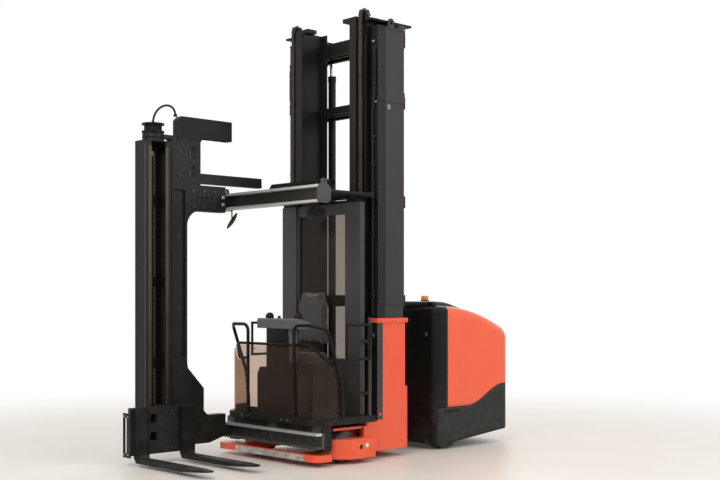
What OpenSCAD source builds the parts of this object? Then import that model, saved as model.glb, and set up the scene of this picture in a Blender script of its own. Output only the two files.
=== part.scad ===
// Very narrow aisle truck with a rise-up cab and a turret fork head.
// Frame: +X towards the forks, +Y to the driver's left, +Z up, origin on the floor midway along the truck.

/* [Chassis] */
// Distance from the load wheel axle to the drive wheel axle
wheelbase = 1500; // [1480:5:1520]
// Width of the mast chassis and of the power unit
chassis_w = 1340; // [1260:10:1400]
// Width over the guide roller boxes at the front of the chassis
guide_w = 1620; // [1580:10:1700]
// Height of the mast sockets above the floor
socket_top = 1390; // [1200:10:1500]
// Ground clearance under the chassis
clearance = 50; // [40:5:70]
// Diameter of a load wheel
load_wheel_d = 300; // [280:10:320]
// Width of a load wheel
load_wheel_w = 120; // [100:5:140]
// Diameter of a drive wheel
drive_wheel_d = 360; // [320:10:380]
// Width of a drive wheel
drive_wheel_w = 140; // [110:5:150]

/* [Power unit] */
// Length of the power unit
unit_len = 1190; // [1100:10:1300]
// Height of the power unit at its front edge
unit_h = 1500; // [1450:10:1560]
// Radius of the long curve over the hood
hood_r = 1800; // [1600:50:2400]
// Thickness of the hood panels
panel_t = 12; // [8:1:16]
// Gap between the mast and the power unit on the centre line
unit_gap = 500; // [480:10:560]

/* [Mast] */
// Height of the lowered mast
mast_h = 4280; // [4000:20:4600]
// Depth of one mast profile along the truck
profile_d = 360; // [320:10:380]
// Width of one mast profile across the truck
profile_w = 95; // [85:1:100]
// Running gap between two mast stages
stage_gap = 8; // [6:1:10]
// Wall thickness of the mast profiles
profile_t = 16; // [12:1:20]
// Forward step from one stage to the next
stage_step = 50; // [45:1:60]

/* [Cab] */
// Width of the cab
cab_w = 1500; // [1400:10:1560]
// Length of the cab floor along the truck
cab_len = 730; // [700:10:800]
// Height of the cab floor above the road
floor_z = 440; // [420:5:480]
// Underside of the roof beam above the road
roof_z = 2490; // [2400:10:2600]
// Height of the front guard rail above the road
rail_z = 1150; // [1100:10:1250]
// Top of the two grab hoops above the road
hoop_z = 1345; // [1300:5:1450]
// Diameter of the guard tubes
tube_d = 34; // [28:1:40]

/* [Turret head] */
// Distance from the beams to the swivel axis of the forks
swivel_reach = 850; // [840:5:900]
// Height of the auxiliary mast
aux_h = 3150; // [3000:10:3250]
// Length of the fork blades
fork_len = 1150; // [1000:10:1200]
// Width of a fork blade
fork_w = 120; // [100:5:130]
// Thickness of a fork blade at its heel
fork_t = 45; // [40:1:50]
// Distance between the centres of the two forks
fork_pitch = 520; // [480:10:560]

/* [Hidden] */

$fn = 48;
orange = [0.95, 0.28, 0.13];
black = [0.07, 0.07, 0.07];
charcoal = [0.16, 0.16, 0.16];
steel = [0.62, 0.62, 0.6];

// Places along the truck
mast_front = -20;
unit_front = mast_front - profile_d - unit_gap;
unit_back = unit_front - unit_len;
load_axle_x = 400;
drive_axle_x = load_axle_x - wheelbase;
pivot_x = mast_front - profile_d - unit_gap / 2;
half_w = chassis_w / 2;

// Places of the mast stages: the inner faces step inwards, the fronts step forwards
outer_out = half_w;
middle_out = outer_out - profile_w - stage_gap;
inner_out = middle_out - profile_w - stage_gap;
inner_front = mast_front + 2 * stage_step;
mast_base = 110;

// Places of the cab
cab_back = inner_front + stage_gap;
cab_front = cab_back + cab_len;
half_cab = cab_w / 2;

// Places of the turret head
beam_d = 100;
beam_front = cab_front + 30;
swivel_x = beam_front + swivel_reach;
swivel_y = -700;

// A rectangle centred on the origin with round corners
module round_rect(l, w, r) {
    square([l - 2 * r, w], center = true);
    square([l, w - 2 * r], center = true);
    for (sx = [-1, 1], sy = [-1, 1])
        translate([sx * (l / 2 - r), sy * (w / 2 - r)])
            circle(r);
}

// A box given by its lowest and highest corners
module slab(low, high) {
    translate(low)
        cube(high - low);
}

// The same piece on both sides of the truck
module both_sides() {
    children();
    mirror([0, 1, 0])
        children();
}

// A bar with its axis along Y
module cross_bar(x, z, d, y0, y1) {
    translate([x, y0, z])
        rotate([-90, 0, 0])
            cylinder(d = d, h = y1 - y0);
}

// A profile in the XZ plane, extruded from y0 to y1
module side_plate(y0, y1) {
    translate([0, y1, 0])
        rotate([90, 0, 0])
            linear_extrude(y1 - y0)
                children();
}

// Bent tubes: corner points get arcs, and a ring of points is swept along the line
function unit_v(v) = v / norm(v);
function bend(a, b, c, r, n) =
    let (u = unit_v(a - b), w = unit_v(c - b),
        half = acos(u * w) / 2,
        reach = r / tan(half),
        mid = b + unit_v(u + w) * (r / sin(half)),
        p = b + u * reach - mid,
        q = b + w * reach - mid,
        full = 180 - 2 * half)
    [for (i = [0:n]) mid + (p * sin(full * (1 - i / n)) + q * sin(full * i / n)) / sin(full)];
function bent_line(pts, r, n) = concat([pts[0]],
    [for (i = [1:len(pts) - 2]) each bend(pts[i - 1], pts[i], pts[i + 1], r, n)],
    [pts[len(pts) - 1]]);
function heading(line, i) = unit_v(line[min(i + 1, len(line) - 1)] - line[max(i - 1, 0)]);
function carried(line, i) = i == 0
    ? unit_v(cross(heading(line, 0), [0.31, 0.87, 0.39]))
    : let (h = heading(line, i), p = carried(line, i - 1)) unit_v(p - h * (p * h));
module bent_tube(pts, d, r, n = 5, sides = 10) {
    line = bent_line(pts, r, n);
    rings = len(line);
    points = [for (i = [0:rings - 1])
        let (u = carried(line, i), v = cross(heading(line, i), u))
        for (k = [0:sides - 1]) line[i] + (u * cos(360 * k / sides) + v * sin(360 * k / sides)) * d / 2];
    walls = [for (i = [0:rings - 2], k = [0:sides - 1])
        let (a = i * sides + k, b = i * sides + (k + 1) % sides)
        [a, b, b + sides, a + sides]];
    polyhedron(points, concat([[for (k = [sides - 1:-1:0]) k]],
        [for (w = walls) [w[0], w[1], w[2]]], [for (w = walls) [w[0], w[2], w[3]]],
        [[for (k = [0:sides - 1]) (rings - 1) * sides + k]]), convexity = 8);
}

// Chassis: two mast sockets, low arms over the load wheels, a rear plate with the steering pivot
socket_wall = 14;
collar_h = 45;
foot_x = 140;
foot_z = 370;
arm_front = 620;
arm_z = 300;
guide_h = 240;
guide_in = half_w - 5;
wheel_bay = load_wheel_d / 2 + 15;
load_wheel_y = 590;
wheel_play = 12;
tie_w = 480;
nose_front = 870;
nose_w = 780;
nose_h = 65;
plate_t = 46;
plate_back = mast_front - profile_d - socket_wall - plate_t;
plate_h = 700;
lug_r = 110;
pin_r = 35;
pin_fit = 0.1;
lug_t = 40;
pivot_low = 200;
pivot_high = 560;
lug_clear = 6;
axle_d = 50;
drive_axle_d = 60;
ram_r = 45;
ram_x = mast_front - profile_d - 34 - 5 - ram_r;
ram_y = 500;
module guide_plan() {
    polygon([[foot_x, guide_in], [foot_x, guide_w / 2], [load_axle_x + 60, guide_w / 2],
        [arm_front - 20, guide_in], [arm_front, guide_in - 120], [arm_front, tie_w],
        [load_axle_x + wheel_bay, tie_w], [load_axle_x + wheel_bay, guide_in]]);
}
module chassis_side() {
    // Socket round the outer mast profile with a collar, open towards the middle
    difference() {
        union() {
            slab([mast_front - profile_d - socket_wall, outer_out - profile_w, clearance + 30],
                [mast_front + socket_wall, outer_out + socket_wall, socket_top - collar_h]);
            slab([mast_front - profile_d - 40, outer_out - profile_w, socket_top - collar_h],
                [mast_front + 30, outer_out + 30, socket_top]);
            // Foot that carries the arm
            slab([mast_front, outer_out - profile_w, clearance + 30], [foot_x, outer_out + socket_wall,
                foot_z]);
        }
        slab([mast_front - profile_d, outer_out - profile_w - 1, mast_base],
            [mast_front, outer_out, socket_top + 1]);
    }
    // Wheel arm: inner plate, roof and guide box
    slab([foot_x - 30, tie_w, clearance], [arm_front, load_wheel_y - load_wheel_w / 2 - wheel_play, arm_z]);
    slab([foot_x - 30, tie_w, load_wheel_d / 2 + wheel_bay], [arm_front - 60, guide_in, arm_z + 40]);
    slab([foot_x - 30, outer_out - profile_w, arm_z], [foot_x + 20, guide_in, arm_z + 40]);
    translate([0, 0, clearance])
        linear_extrude(guide_h - clearance)
            guide_plan();
    slab([foot_x - 30, guide_in - 20, clearance], [foot_x + 40, guide_in + 20, arm_z + 40]);
    // Nose in front of the wheel
    translate([0, 0, clearance])
        linear_extrude(nose_h)
            polygon([[arm_front - 20, tie_w], [arm_front - 20, guide_in], [arm_front + 60, nose_w],
                [nose_front - 50, nose_w], [nose_front, nose_w - 50], [nose_front, tie_w - 40],
                [nose_front - 60, tie_w - 40], [nose_front - 60, tie_w]]);
    // Seat of the lift cylinder
    slab([ram_x - ram_r - 6, ram_y - 60, plate_h - 40], [plate_back + 1, ram_y + 60, plate_h]);
}
module chassis_frame() {
    color(orange)
        difference() {
            union() {
                both_sides()
                    chassis_side();
                slab([nose_front - 60, -tie_w, clearance], [nose_front, tie_w, clearance + nose_h]);
                slab([foot_x - 30, -tie_w - 1, clearance], [foot_x + 60, tie_w + 1, 200]);
                slab([plate_back, -outer_out, clearance + 30],
                    [plate_back + plate_t, outer_out, plate_h]);
                slab([plate_back, -outer_out + profile_w - 1, clearance + 30],
                    [foot_x, outer_out - profile_w + 1, mast_base]);
                // Pivot lugs and pin
                for (z = [pivot_low, pivot_high]) {
                    slab([pivot_x, -lug_r, z], [plate_back + 1, lug_r, z + lug_t]);
                    translate([pivot_x, 0, z])
                        cylinder(r = lug_r, h = lug_t);
                }
                translate([pivot_x, 0, pivot_low - 20])
                    cylinder(r = pin_r, h = pivot_high - pivot_low + lug_t + 40);
            }
            // Roller openings of the guide boxes
            both_sides()
                cross_bar(load_axle_x - 70, load_wheel_d / 2 + 10, 46, guide_w / 2 - 30, guide_w / 2 + 1);
        }
    color(steel)
        both_sides()
            cross_bar(load_axle_x, load_wheel_d / 2, axle_d, load_wheel_y - load_wheel_w / 2 - wheel_play,
                guide_in + 1);
}
module front_skid() {
    color(steel)
        difference() {
            slab([nose_front, -tie_w + 30, clearance + 5], [nose_front + 15, tie_w + 120, clearance + 62]);
            for (y = [-tie_w + 100:180:tie_w + 60])
                translate([nose_front - 1, y, clearance + 34])
                    rotate([0, 90, 0])
                        cylinder(d = 16, h = 20);
        }
}

// Wheels: a tyre on a hub with a bore that runs on its axle
tyre_t = 30;
bolt_hole = 14;
module road_wheel(x, y, d, w, axle) {
    translate([x, y - w / 2, d / 2])
        rotate([-90, 0, 0])
            difference() {
                union() {
                    color(black)
                        difference() {
                            cylinder(d = d, h = w, $fn = 96);
                            translate([0, 0, -1])
                                cylinder(d = d - 2 * tyre_t, h = w + 2, $fn = 96);
                        }
                    color(steel) {
                        translate([0, 0, 8])
                            cylinder(d = d - 2 * tyre_t, h = w - 16, $fn = 96);
                        cylinder(d = axle + 50, h = w);
                    }
                }
                translate([0, 0, -1])
                    cylinder(d = axle + 2 * pin_fit, h = w + 2);
                for (a = [0:60:300])
                    rotate(a)
                        translate([(d / 2 - tyre_t + axle / 2 + 25) / 2, 0, -1])
                            cylinder(d = bolt_hole, h = w + 2);
            }
}

// Power unit: frame with the pivot lugs, battery, hood, shroud, skirt, top cover
unit_floor = 60;
skirt_back_z = 160;
unit_r = 120;
tail_r = 120;
shroud_len = 170;
wave_low = 440;
wave_high = 650;
wave_start = unit_front - 500;
wave_len = 420;
cover_len = 570;
cover_rise = 60;
drive_y = 530;
battery_l = 700;
battery_w = 1100;
battery_h = 680;
bed_z = 430;
bed_t = 25;
tow_t = 30;
tow_d = 24;
frame_back = unit_back + 60;
frame_w = half_w - 60;
unit_x = (unit_front + unit_back) / 2;
foot_gap = 40;
vent_pitch = 45;
vent_w = 22;
vent_h = 30;
hood_x = unit_front - 60;
hood_z = unit_h - hood_r;
tail_x = unit_back + tail_r;
tail_z = hood_z + sqrt(pow(hood_r - tail_r, 2) - pow(tail_x - hood_x, 2));
tail_a = atan2(tail_z - hood_z, tail_x - hood_x);

// Plan and side view of the unit, both smaller by an inset
module unit_plan(inset) {
    translate([unit_x, 0])
        round_rect(unit_len - 2 * inset, chassis_w - 2 * inset, unit_r - inset);
}
module unit_side(inset) {
    difference() {
        intersection() {
            translate([unit_back + inset, -100])
                square([unit_len - 2 * inset, 3000]);
            translate([hood_x, hood_z])
                circle(r = hood_r - inset, $fn = 200);
        }
        translate([tail_x, tail_z])
            polygon([[0, 0], 400 * [cos(tail_a), sin(tail_a)], [-400, 400], [-400, 0]]);
    }
    translate([tail_x, tail_z])
        circle(r = tail_r - inset);
}
module unit_body(inset) {
    intersection() {
        translate([0, 0, unit_floor - inset])
            linear_extrude(unit_h)
                unit_plan(inset);
        side_plate(-half_w, half_w)
            unit_side(inset);
    }
}
module unit_shell() {
    difference() {
        unit_body(0);
        unit_body(panel_t);
    }
}
function wave(t) = wave_low + (wave_high - wave_low) * (1 - cos(180 * t)) / 2;
module wave_zone(x_front) {
    polygon(concat([[x_front, 0], [x_front, wave_low]],
        [for (i = [0:12]) [wave_start - wave_len * i / 12, wave(i / 12)]],
        [[unit_back - 10, wave_high], [unit_back - 10, 0]]));
}
module hood() {
    color(orange)
        difference() {
            unit_shell();
            side_plate(-half_w - 1, half_w + 1) {
                wave_zone(unit_front + 1);
                translate([unit_front - shroud_len, 0])
                    square([shroud_len + 1, 3000]);
            }
        }
}
// Zone of the skirt under the sides of the shroud
module shroud_foot() {
    both_sides()
        slab([unit_front - shroud_len - 1, half_w - unit_r, 0], [unit_front - foot_gap, half_w + 1,
            wave_low]);
}
module front_shroud() {
    color(black)
        difference() {
            unit_shell();
            slab([unit_back - 1, -half_w - 1, 0], [unit_front - shroud_len, half_w + 1, 3000]);
            shroud_foot();
            // Opening for the pivot lugs
            slab([unit_front - 40, -160, unit_floor - 1], [unit_front + 1, 160, pivot_high + 120]);
        }
}
beacon_x = unit_front - 260;
beacon_y = 250;
beacon_z = unit_h + cover_rise - 5;
module top_cover() {
    color(charcoal)
        translate([beacon_x, beacon_y, beacon_z - 30])
            cylinder(d = 96, h = 30);
    color(charcoal)
        intersection() {
            side_plate(-half_w + 40, half_w - 40)
                difference() {
                    translate([hood_x, hood_z])
                        circle(r = hood_r + cover_rise, $fn = 200);
                    translate([hood_x, hood_z])
                        circle(r = hood_r, $fn = 200);
                }
            translate([0, 0, unit_h - 300])
                linear_extrude(500)
                    translate([unit_front - cover_len / 2 - 10, 0])
                        round_rect(cover_len, chassis_w - 100, 90);
        }
}
module skirt() {
    color(charcoal)
        difference() {
            intersection() {
                unit_shell();
                union() {
                    side_plate(-half_w - 1, half_w + 1)
                        wave_zone(unit_front - shroud_len);
                    shroud_foot();
                }
            }
            // Row of vents under the hood
            for (i = [0:4])
                translate([unit_front - shroud_len - 160 + i * vent_pitch, -half_w - 1, wave_low - 60])
                    cube([vent_w, chassis_w + 2, vent_h]);
            // Underside rises towards the back
            side_plate(-half_w - 2, half_w + 2)
                polygon([[unit_back - 1, 0], [unit_front, 0], [unit_front - shroud_len, unit_floor],
                    [unit_back - 1, skirt_back_z]]);
        }
}
module beacon() {
    translate([beacon_x, beacon_y, beacon_z]) {
        color(charcoal)
            cylinder(d = 90, h = 14);
        color("orange")
            translate([0, 0, 14]) {
                cylinder(d = 78, h = 36);
                translate([0, 0, 36])
                    cylinder(d1 = 78, d2 = 56, h = 10);
            }
    }
}
module unit_frame() {
    cross = drive_y - drive_wheel_w / 2 - 20;
    color(black)
        difference() {
            union() {
                slab([frame_back, -frame_w, bed_z], [unit_front - 40, frame_w, bed_z + bed_t]);
                slab([unit_back + unit_r, -half_w + panel_t + 0.3, bed_z],
                    [unit_front - unit_r, half_w - panel_t - 0.3, bed_z + bed_t]);
                slab([unit_front - 75, -cross, 120], [unit_front - 40, cross, 720]);
                slab([frame_back, -frame_w, 200], [frame_back + 30, frame_w, bed_z + 1]);
                slab([frame_back - 40, -60, 200], [frame_back + 1, 60, 200 + tow_t]);
                // Axle beam between the drive wheels
                slab([drive_axle_x - 90, -cross, 110], [drive_axle_x + 90, cross, bed_z + 1]);
                cross_bar(drive_axle_x, drive_wheel_d / 2, drive_axle_d, -drive_y - drive_wheel_w / 2,
                    drive_y + drive_wheel_w / 2);
                // Lugs between those of the chassis
                for (z = [pivot_low + lug_t + lug_clear, pivot_high - lug_clear - lug_t]) {
                    slab([unit_front - 75, -lug_r, z], [pivot_x, lug_r, z + lug_t]);
                    translate([pivot_x, 0, z])
                        cylinder(r = lug_r, h = lug_t);
                }
            }
            translate([pivot_x, 0, 0])
                cylinder(r = pin_r + pin_fit, h = pivot_high + 200);
            translate([frame_back - 18, 0, 199])
                cylinder(d = tow_d, h = tow_t + 2);
        }
}
module battery() {
    color(charcoal)
        slab([unit_back + 120, -battery_w / 2, bed_z + bed_t],
            [unit_back + 120 + battery_l, battery_w / 2, bed_z + bed_t + battery_h]);
}

// Mast: each stage is a pair of channels, open inwards, with cross members at the back
middle_top = mast_h + 60;
inner_top = mast_h + 120;
lift_gap = 5;
bar_t = 34;
bar_low = 1500;
bar_pitch = (mast_h - 1280) / 3;
outer_bars = concat([for (i = [0:2]) [bar_low + i * bar_pitch, 120]], [[mast_h - 160, 160]]);
middle_bars = concat([[260, 120]], [for (i = [0:2]) [bar_low + 20 + i * bar_pitch, 100]],
    [[mast_h - 140, 160]]);
inner_bars = concat([[240, 120]], [for (i = [0:2]) [bar_low + 30 + i * bar_pitch, 80]], [[mast_h - 130,
    140]]);
cover_t = 8;
band_t = 14;
band_z = mast_h - 730;
band_h = 110;
module profile(out, front, low, high) {
    difference() {
        slab([front - profile_d, out - profile_w, low], [front, out, high]);
        slab([front - profile_d + profile_t, out - profile_w - 1, low - 1],
            [front - profile_t, out - profile_t, high + 1]);
    }
}
// Roller on the outside of a stage, in the channel of the stage outside it
stage_roll = 40;
module stage_rollers(out, outer_front) {
    both_sides()
        cross_bar(outer_front - profile_t - roll_gap - stage_roll, mast_base + 100, 2 * stage_roll, out - 1,
            out + stage_gap + profile_w - profile_t - 5);
}
// Thickness of the tips of the curved gussets
arch_tip = 3;
module cross_members(x, half, edge, arch_r, bars) {
    // The gussets reach no further into the column than the members do
    reach = min(arch_tip, half - edge);
    for (b = bars)
        slab([x, -half, b[0]], [x + bar_t, half, b[0] + b[1]]);
    // Curved gussets under the top member
    both_sides()
        translate([x, edge, bars[len(bars) - 1][0] + 1])
            rotate([0, 90, 0])
                linear_extrude(bar_t)
                    difference() {
                        translate([0, -arch_r])
                            square([arch_r, arch_r + reach]);
                        translate([arch_r, reach - arch_tip - arch_r])
                            circle(r = arch_r);
                    }
}
// Lifting eyes on the caps of the outer stage
eye_r = 45;
eye_d = 32;
eye_x = mast_front - profile_d / 2;
eye_z = mast_h + 60;
module outer_mast() {
    color(charcoal) {
        both_sides() {
            profile(outer_out, mast_front, mast_base, mast_h);
            // Cover on the outside of the column with a band, and the cap
            slab([mast_front - profile_d - 6, outer_out - 1, socket_top + 140],
                [mast_front, outer_out + cover_t, mast_h]);
            slab([mast_front - profile_d - 12, outer_out - 1, band_z],
                [mast_front + 4, outer_out + band_t, band_z + band_h]);
            slab([mast_front - profile_d - 18, outer_out - profile_w, mast_h],
                [mast_front, outer_out + band_t, mast_h + 16]);
            // Lifting eye on the cap
            difference() {
                union() {
                    slab([eye_x - eye_r, outer_out + 2, mast_h + 15], [eye_x + eye_r, outer_out + 14,
                        eye_z]);
                    cross_bar(eye_x, eye_z, 2 * eye_r, outer_out + 2, outer_out + 14);
                }
                cross_bar(eye_x, eye_z, eye_d, outer_out + 1, outer_out + 15);
            }
        }
    }
}
module outer_ties() {
    color(charcoal)
        cross_members(mast_front - profile_d - bar_t, outer_out - 1, outer_out - profile_w, 110, outer_bars);
}
ram_bore = 36;
rod_r = 28;
ram_top = mast_h - 280;
module lift_cylinders() {
    color(black)
        both_sides()
            translate([ram_x, ram_y, plate_h])
                difference() {
                    union() {
                        cylinder(r = ram_r - 4, h = ram_top - plate_h);
                        translate([0, 0, ram_top - plate_h - 60])
                            cylinder(r = ram_r, h = 60);
                    }
                    translate([0, 0, 60])
                        cylinder(r = ram_bore - 4, h = ram_top);
                }
}
module cylinder_rods() {
    color(steel)
        both_sides()
            translate([ram_x, ram_y, 1000])
                cylinder(r = rod_r - 2, h = middle_top - 1000);
}
cap_plate = 20;
pulley_r = 44;
pulley_x = mast_front + stage_step - 12;
pulley_z = middle_top + cap_plate + pulley_r + 3;
chain_y = middle_out - profile_w / 2;
chain_w = 44;
chain_t = 18;
chain_gap = 0.3;
module middle_mast() {
    f = mast_front + stage_step;
    color(black) {
        both_sides() {
            profile(middle_out, f, mast_base + lift_gap, middle_top);
            // Top plate that carries the cylinder rods and the chain pulleys
            slab([ram_x - ram_r, middle_out - profile_w, middle_top], [f + 20, outer_out - 5,
                middle_top + cap_plate]);
            cross_bar(pulley_x, pulley_z, 24, middle_out - profile_w, middle_out);
            for (y = [middle_out - profile_w, middle_out - 14])
                slab([pulley_x - 30, y, middle_top + 1], [pulley_x + 30, y + 14, pulley_z + 40]);
            // Lower anchor of the chain
            slab([f - 1, chain_y - 30, 280], [f + 50, chain_y + 30, 320]);
        }
        cross_members(f - profile_d + 2, middle_out - profile_w + 2, middle_out - profile_w, 90,
            middle_bars);
        stage_rollers(middle_out, mast_front);
    }
    color(steel)
        both_sides()
            cross_bar(pulley_x, pulley_z, 2 * pulley_r, chain_y - 27, chain_y + 27);
}
module inner_mast() {
    color(charcoal) {
        both_sides() {
            profile(inner_out, inner_front, mast_base + lift_gap, inner_top);
            slab([inner_front - 120, inner_out - profile_w - 100, inner_top - 40],
                [inner_front, inner_out - profile_w + 2, inner_top]);
        }
        stage_rollers(inner_out, mast_front + stage_step);
    }
}
module inner_ties() {
    color(charcoal)
        cross_members(inner_front - profile_d + 2, inner_out - profile_w, inner_out - profile_w, 60,
            inner_bars);
}
// Chain from the anchor at the foot of the middle stage over its pulley
module lift_chains() {
    r_in = pulley_r + chain_gap;
    color(steel)
        both_sides()
            side_plate(chain_y - chain_w / 2, chain_y + chain_w / 2) {
                translate([pulley_x + r_in, 320 + chain_gap])
                    square([chain_t, pulley_z - 320 - chain_gap]);
                translate([pulley_x - r_in - chain_t, middle_top + cap_plate + chain_gap])
                    square([chain_t, pulley_z - middle_top - cap_plate - chain_gap]);
                intersection() {
                    translate([pulley_x, pulley_z])
                        difference() {
                            circle(r = r_in + chain_t);
                            circle(r = r_in);
                        }
                    translate([pulley_x - 200, pulley_z])
                        square([400, 200]);
                }
            }
}

// Cab floor, beams and frame
floor_t = 60;
toe_h = 60;
toe_t = 5;
corner_c = 110;
glass_t = 6;
beam_flange = 24;
beam_web = 30;
low_beam_z = 170;
beam_h = 150;
roof_beam_h = 165;
beam_back = beam_front - beam_d;
run_gap = 5;
pillar_in = 380;
pillar_out = 600;
pillar_x = cab_back + 62;
frame_y = half_cab - tube_d / 2;
rail_drop = 165;
rail_d = 30;
rail_off = tube_d / 2 + rail_d / 2 + 0.3;
rail_mid = rail_z - rail_d / 2;
screen_top = rail_mid - rail_d / 2 - 1;
side_x = 500;
gate_y = half_cab - 13;
gate_x = 115;
gate_z = 1165;
gate_d = 26;
roll_gap = 0.3;
post_y = half_cab - 50;
hinge_r = 12;

module cab_plan(inset) {
    c = corner_c - inset * 0.4;
    polygon([[cab_back, -half_cab + inset], [cab_front - c - inset, -half_cab + inset],
        [cab_front - inset, -half_cab + inset + c], [cab_front - inset, half_cab - inset - c],
        [cab_front - c - inset, half_cab - inset], [cab_back, half_cab - inset]]);
}
module cab_floor() {
    color(charcoal)
        translate([0, 0, floor_z - floor_t])
            linear_extrude(floor_t)
                cab_plan(0);
    // Toe rim along the front
    color(charcoal)
        translate([0, 0, floor_z - 1])
            linear_extrude(toe_h)
                difference() {
                    cab_plan(tube_d + 18);
                    cab_plan(tube_d + 18 + toe_t);
                    translate([0, -half_cab])
                        square([side_x + 60, cab_w]);
                }
    color(black)
        both_sides()
            slab([640, half_cab - 150, 140], [beam_back - 1, half_cab - 20, floor_z - floor_t + 1]);
}
module beam(z, h, half) {
    difference() {
        slab([beam_back, -half, z], [beam_front, half, z + h]);
        slab([beam_back + beam_web, -half - 1, z + beam_flange], [beam_front + 1, half + 1,
            z + h - beam_flange]);
    }
}
module lower_beam() {
    color(steel) {
        beam(low_beam_z, beam_h, half_cab);
        for (y = [-half_cab + 20, -60, half_cab - 140])
            slab([beam_back, y, low_beam_z + beam_h], [beam_back + beam_web, y + 120, floor_z - floor_t]);
    }
}
// Rectangle with cut corners, given by its half sizes
module octagon(a, b, c) {
    polygon([[-a, c - b], [c - a, -b], [a - c, -b], [a, c - b], [a, b - c], [a - c, b], [c - a, b],
        [-a, b - c]]);
}
module roof_beam() {
    color(steel)
        beam(roof_z, roof_beam_h, half_cab);
    color(black)
        both_sides()
            difference() {
                union() {
                    side_plate(half_cab, half_cab + cap_t)
                        translate([cap_x, roof_z + roof_beam_h / 2])
                            octagon(cap_w, roof_beam_h / 2 + 5, 35);
                    slab([cap_x - 30, half_cab, roof_z + roof_beam_h / 2],
                        [cap_x + 30, half_cab + cap_t, roof_z + roof_beam_h + 30]);
                    cross_bar(cap_x, roof_z + roof_beam_h + 30, 60, half_cab, half_cab + cap_t);
                }
                cross_bar(cap_x, roof_z + roof_beam_h + 30, 20, half_cab - 1, half_cab + cap_t + 1);
            }
}
module cab_pillars() {
    color([0.7, 0.71, 0.7]) {
        both_sides() {
            difference() {
                slab([cab_back, pillar_in, floor_z], [pillar_x, pillar_out, roof_z + 50]);
                slab([cab_back - 1, pillar_in + 25, floor_z + 25], [pillar_x - 20, pillar_out - 25,
                    roof_z + 51]);
            }
            // Post and pin of the side gate
            translate([gate_x, post_y, floor_z])
                cylinder(d = tube_d, h = 1400 - floor_z);
            slab([cab_back + 5, pillar_out - 1, 1150], [gate_x, post_y, 1180]);
            slab([cab_back + 5, pillar_out - 1, 640], [gate_x, post_y, 670]);
            cross_bar(gate_x, gate_z + 60, 2 * hinge_r, post_y, half_cab + 2);
            // Guide plates and rollers in the inner mast channels
            slab([-60, inner_out - profile_w - 20, floor_z], [cab_back + 30, inner_out - profile_w - 8,
                1500]);
            for (z = [floor_z + 120, 1400])
                cross_bar(inner_front - profile_t - roll_gap - 58, z, 116, inner_out - profile_w - 9,
                    inner_out - profile_t - 6);
            slab([cab_back, inner_out - profile_w - 20, floor_z], [cab_back + 30, pillar_in + 1, 1500]);
        }
        slab([cab_back, -pillar_in - 1, roof_z - 60], [cab_back + 40, pillar_in + 1, roof_z + 50]);
        slab([cab_back, -pillar_in - 1, floor_z], [cab_back + 40, pillar_in + 1, 980]);
    }
}
module rear_window() {
    color([0.25, 0.3, 0.3, 0.5])
        slab([cab_back + 12, -pillar_in + 40, 980], [cab_back + 12 + glass_t, pillar_in - 40, roof_z - 60]);
}
guard_z = roof_z + 110;
seat_x = 200;
seat_z = 930;
chain_x = 200;
chain_start = -540;
chain_links = 14;
link_pitch = 60;
link_w = 120;
link_h = 48;
link_t = 10;
chain_run_gap = 118;
chain_end = chain_start + (chain_links - 1) * link_pitch + 20;
cap_t = 20;
cap_w = 83;
cap_x = cab_front - 50;
mirror_r = 95;
mirror_x = cab_front - 45;
mirror_y = 660;
mirror_z = roof_z - 105;
mirror_tilt = 57;
dish_r = 240;
dish_h = dish_r - sqrt(dish_r * dish_r - mirror_r * mirror_r) + 6;
module roof_guard() {
    color(black) {
        both_sides() {
            translate([cab_back + 30, half_cab - 40, guard_z])
                rotate([0, 90, 0])
                    cylinder(d = 44, h = beam_back - cab_back - 30);
            slab([cab_back, pillar_in + 20, roof_z + 50], [pillar_x, pillar_out - 20, guard_z - 25]);
        }
        slab([cab_back, -half_cab + 15, guard_z - 25], [cab_back + 50, half_cab - 15, guard_z + 25]);
        for (i = [-4:4])
            translate([cab_back + 40, i * 140, guard_z])
                rotate([0, 90, 0])
                    cylinder(d = 24, h = beam_back - cab_back - 40);
    }
}
module front_screen() {
    color([0.3, 0.36, 0.38, 0.5])
        difference() {
            translate([0, 0, floor_z])
                linear_extrude(screen_top - floor_z)
                    difference() {
                        cab_plan(tube_d + 8);
                        cab_plan(tube_d + 8 + glass_t);
                        translate([0, -half_cab])
                            square([side_x + 20, cab_w]);
                    }
            // Sides end under the dropped rail
            both_sides()
                side_plate(half_cab - 160, half_cab + 1)
                    polygon([[side_x, screen_top - rail_drop], [cab_front - 170, screen_top - rail_drop],
                        [cab_front, screen_top], [cab_front, rail_z + 100], [side_x, rail_z + 100]]);
        }
}
// Route of one hoop: front leg, top bar, slope down the side, rear leg
hoop_front = cab_front - 22;
hoop_route = [[hoop_front, 360, floor_z + 0.3], [hoop_front, 360, hoop_z - tube_d / 2],
    [hoop_front, 600, hoop_z - tube_d / 2], [cab_front - 120, frame_y, hoop_z - 50],
    [side_x + 30, frame_y, 820], [side_x, frame_y, 540],
    [side_x, frame_y, floor_z + 0.3]];
module grab_hoops() {
    color(black)
        both_sides()
            bent_tube(hoop_route, tube_d, 70);
}
module front_rail() {
    x = hoop_front - rail_off;
    y = frame_y - rail_off;
    color(black)
        bent_tube([[side_x + 45, y, rail_mid - rail_drop], [x - 120, y, rail_mid - rail_drop],
            [x, half_cab - 180, rail_mid], [x, -half_cab + 180, rail_mid],
            [x - 120, -y, rail_mid - rail_drop], [side_x + 45, -y, rail_mid - rail_drop]], rail_d, 60);
}
pod_left = 250;
pod_right = -200;
pod_x = 650;
desk_z = 1290;
desk_back = 572;
desk_front = 735;
pod_z = desk_z + 96;
console_left = 330;
console_right = -290;
leg_x = 600;
leg_d = 130;
leg_top = 900;
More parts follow.
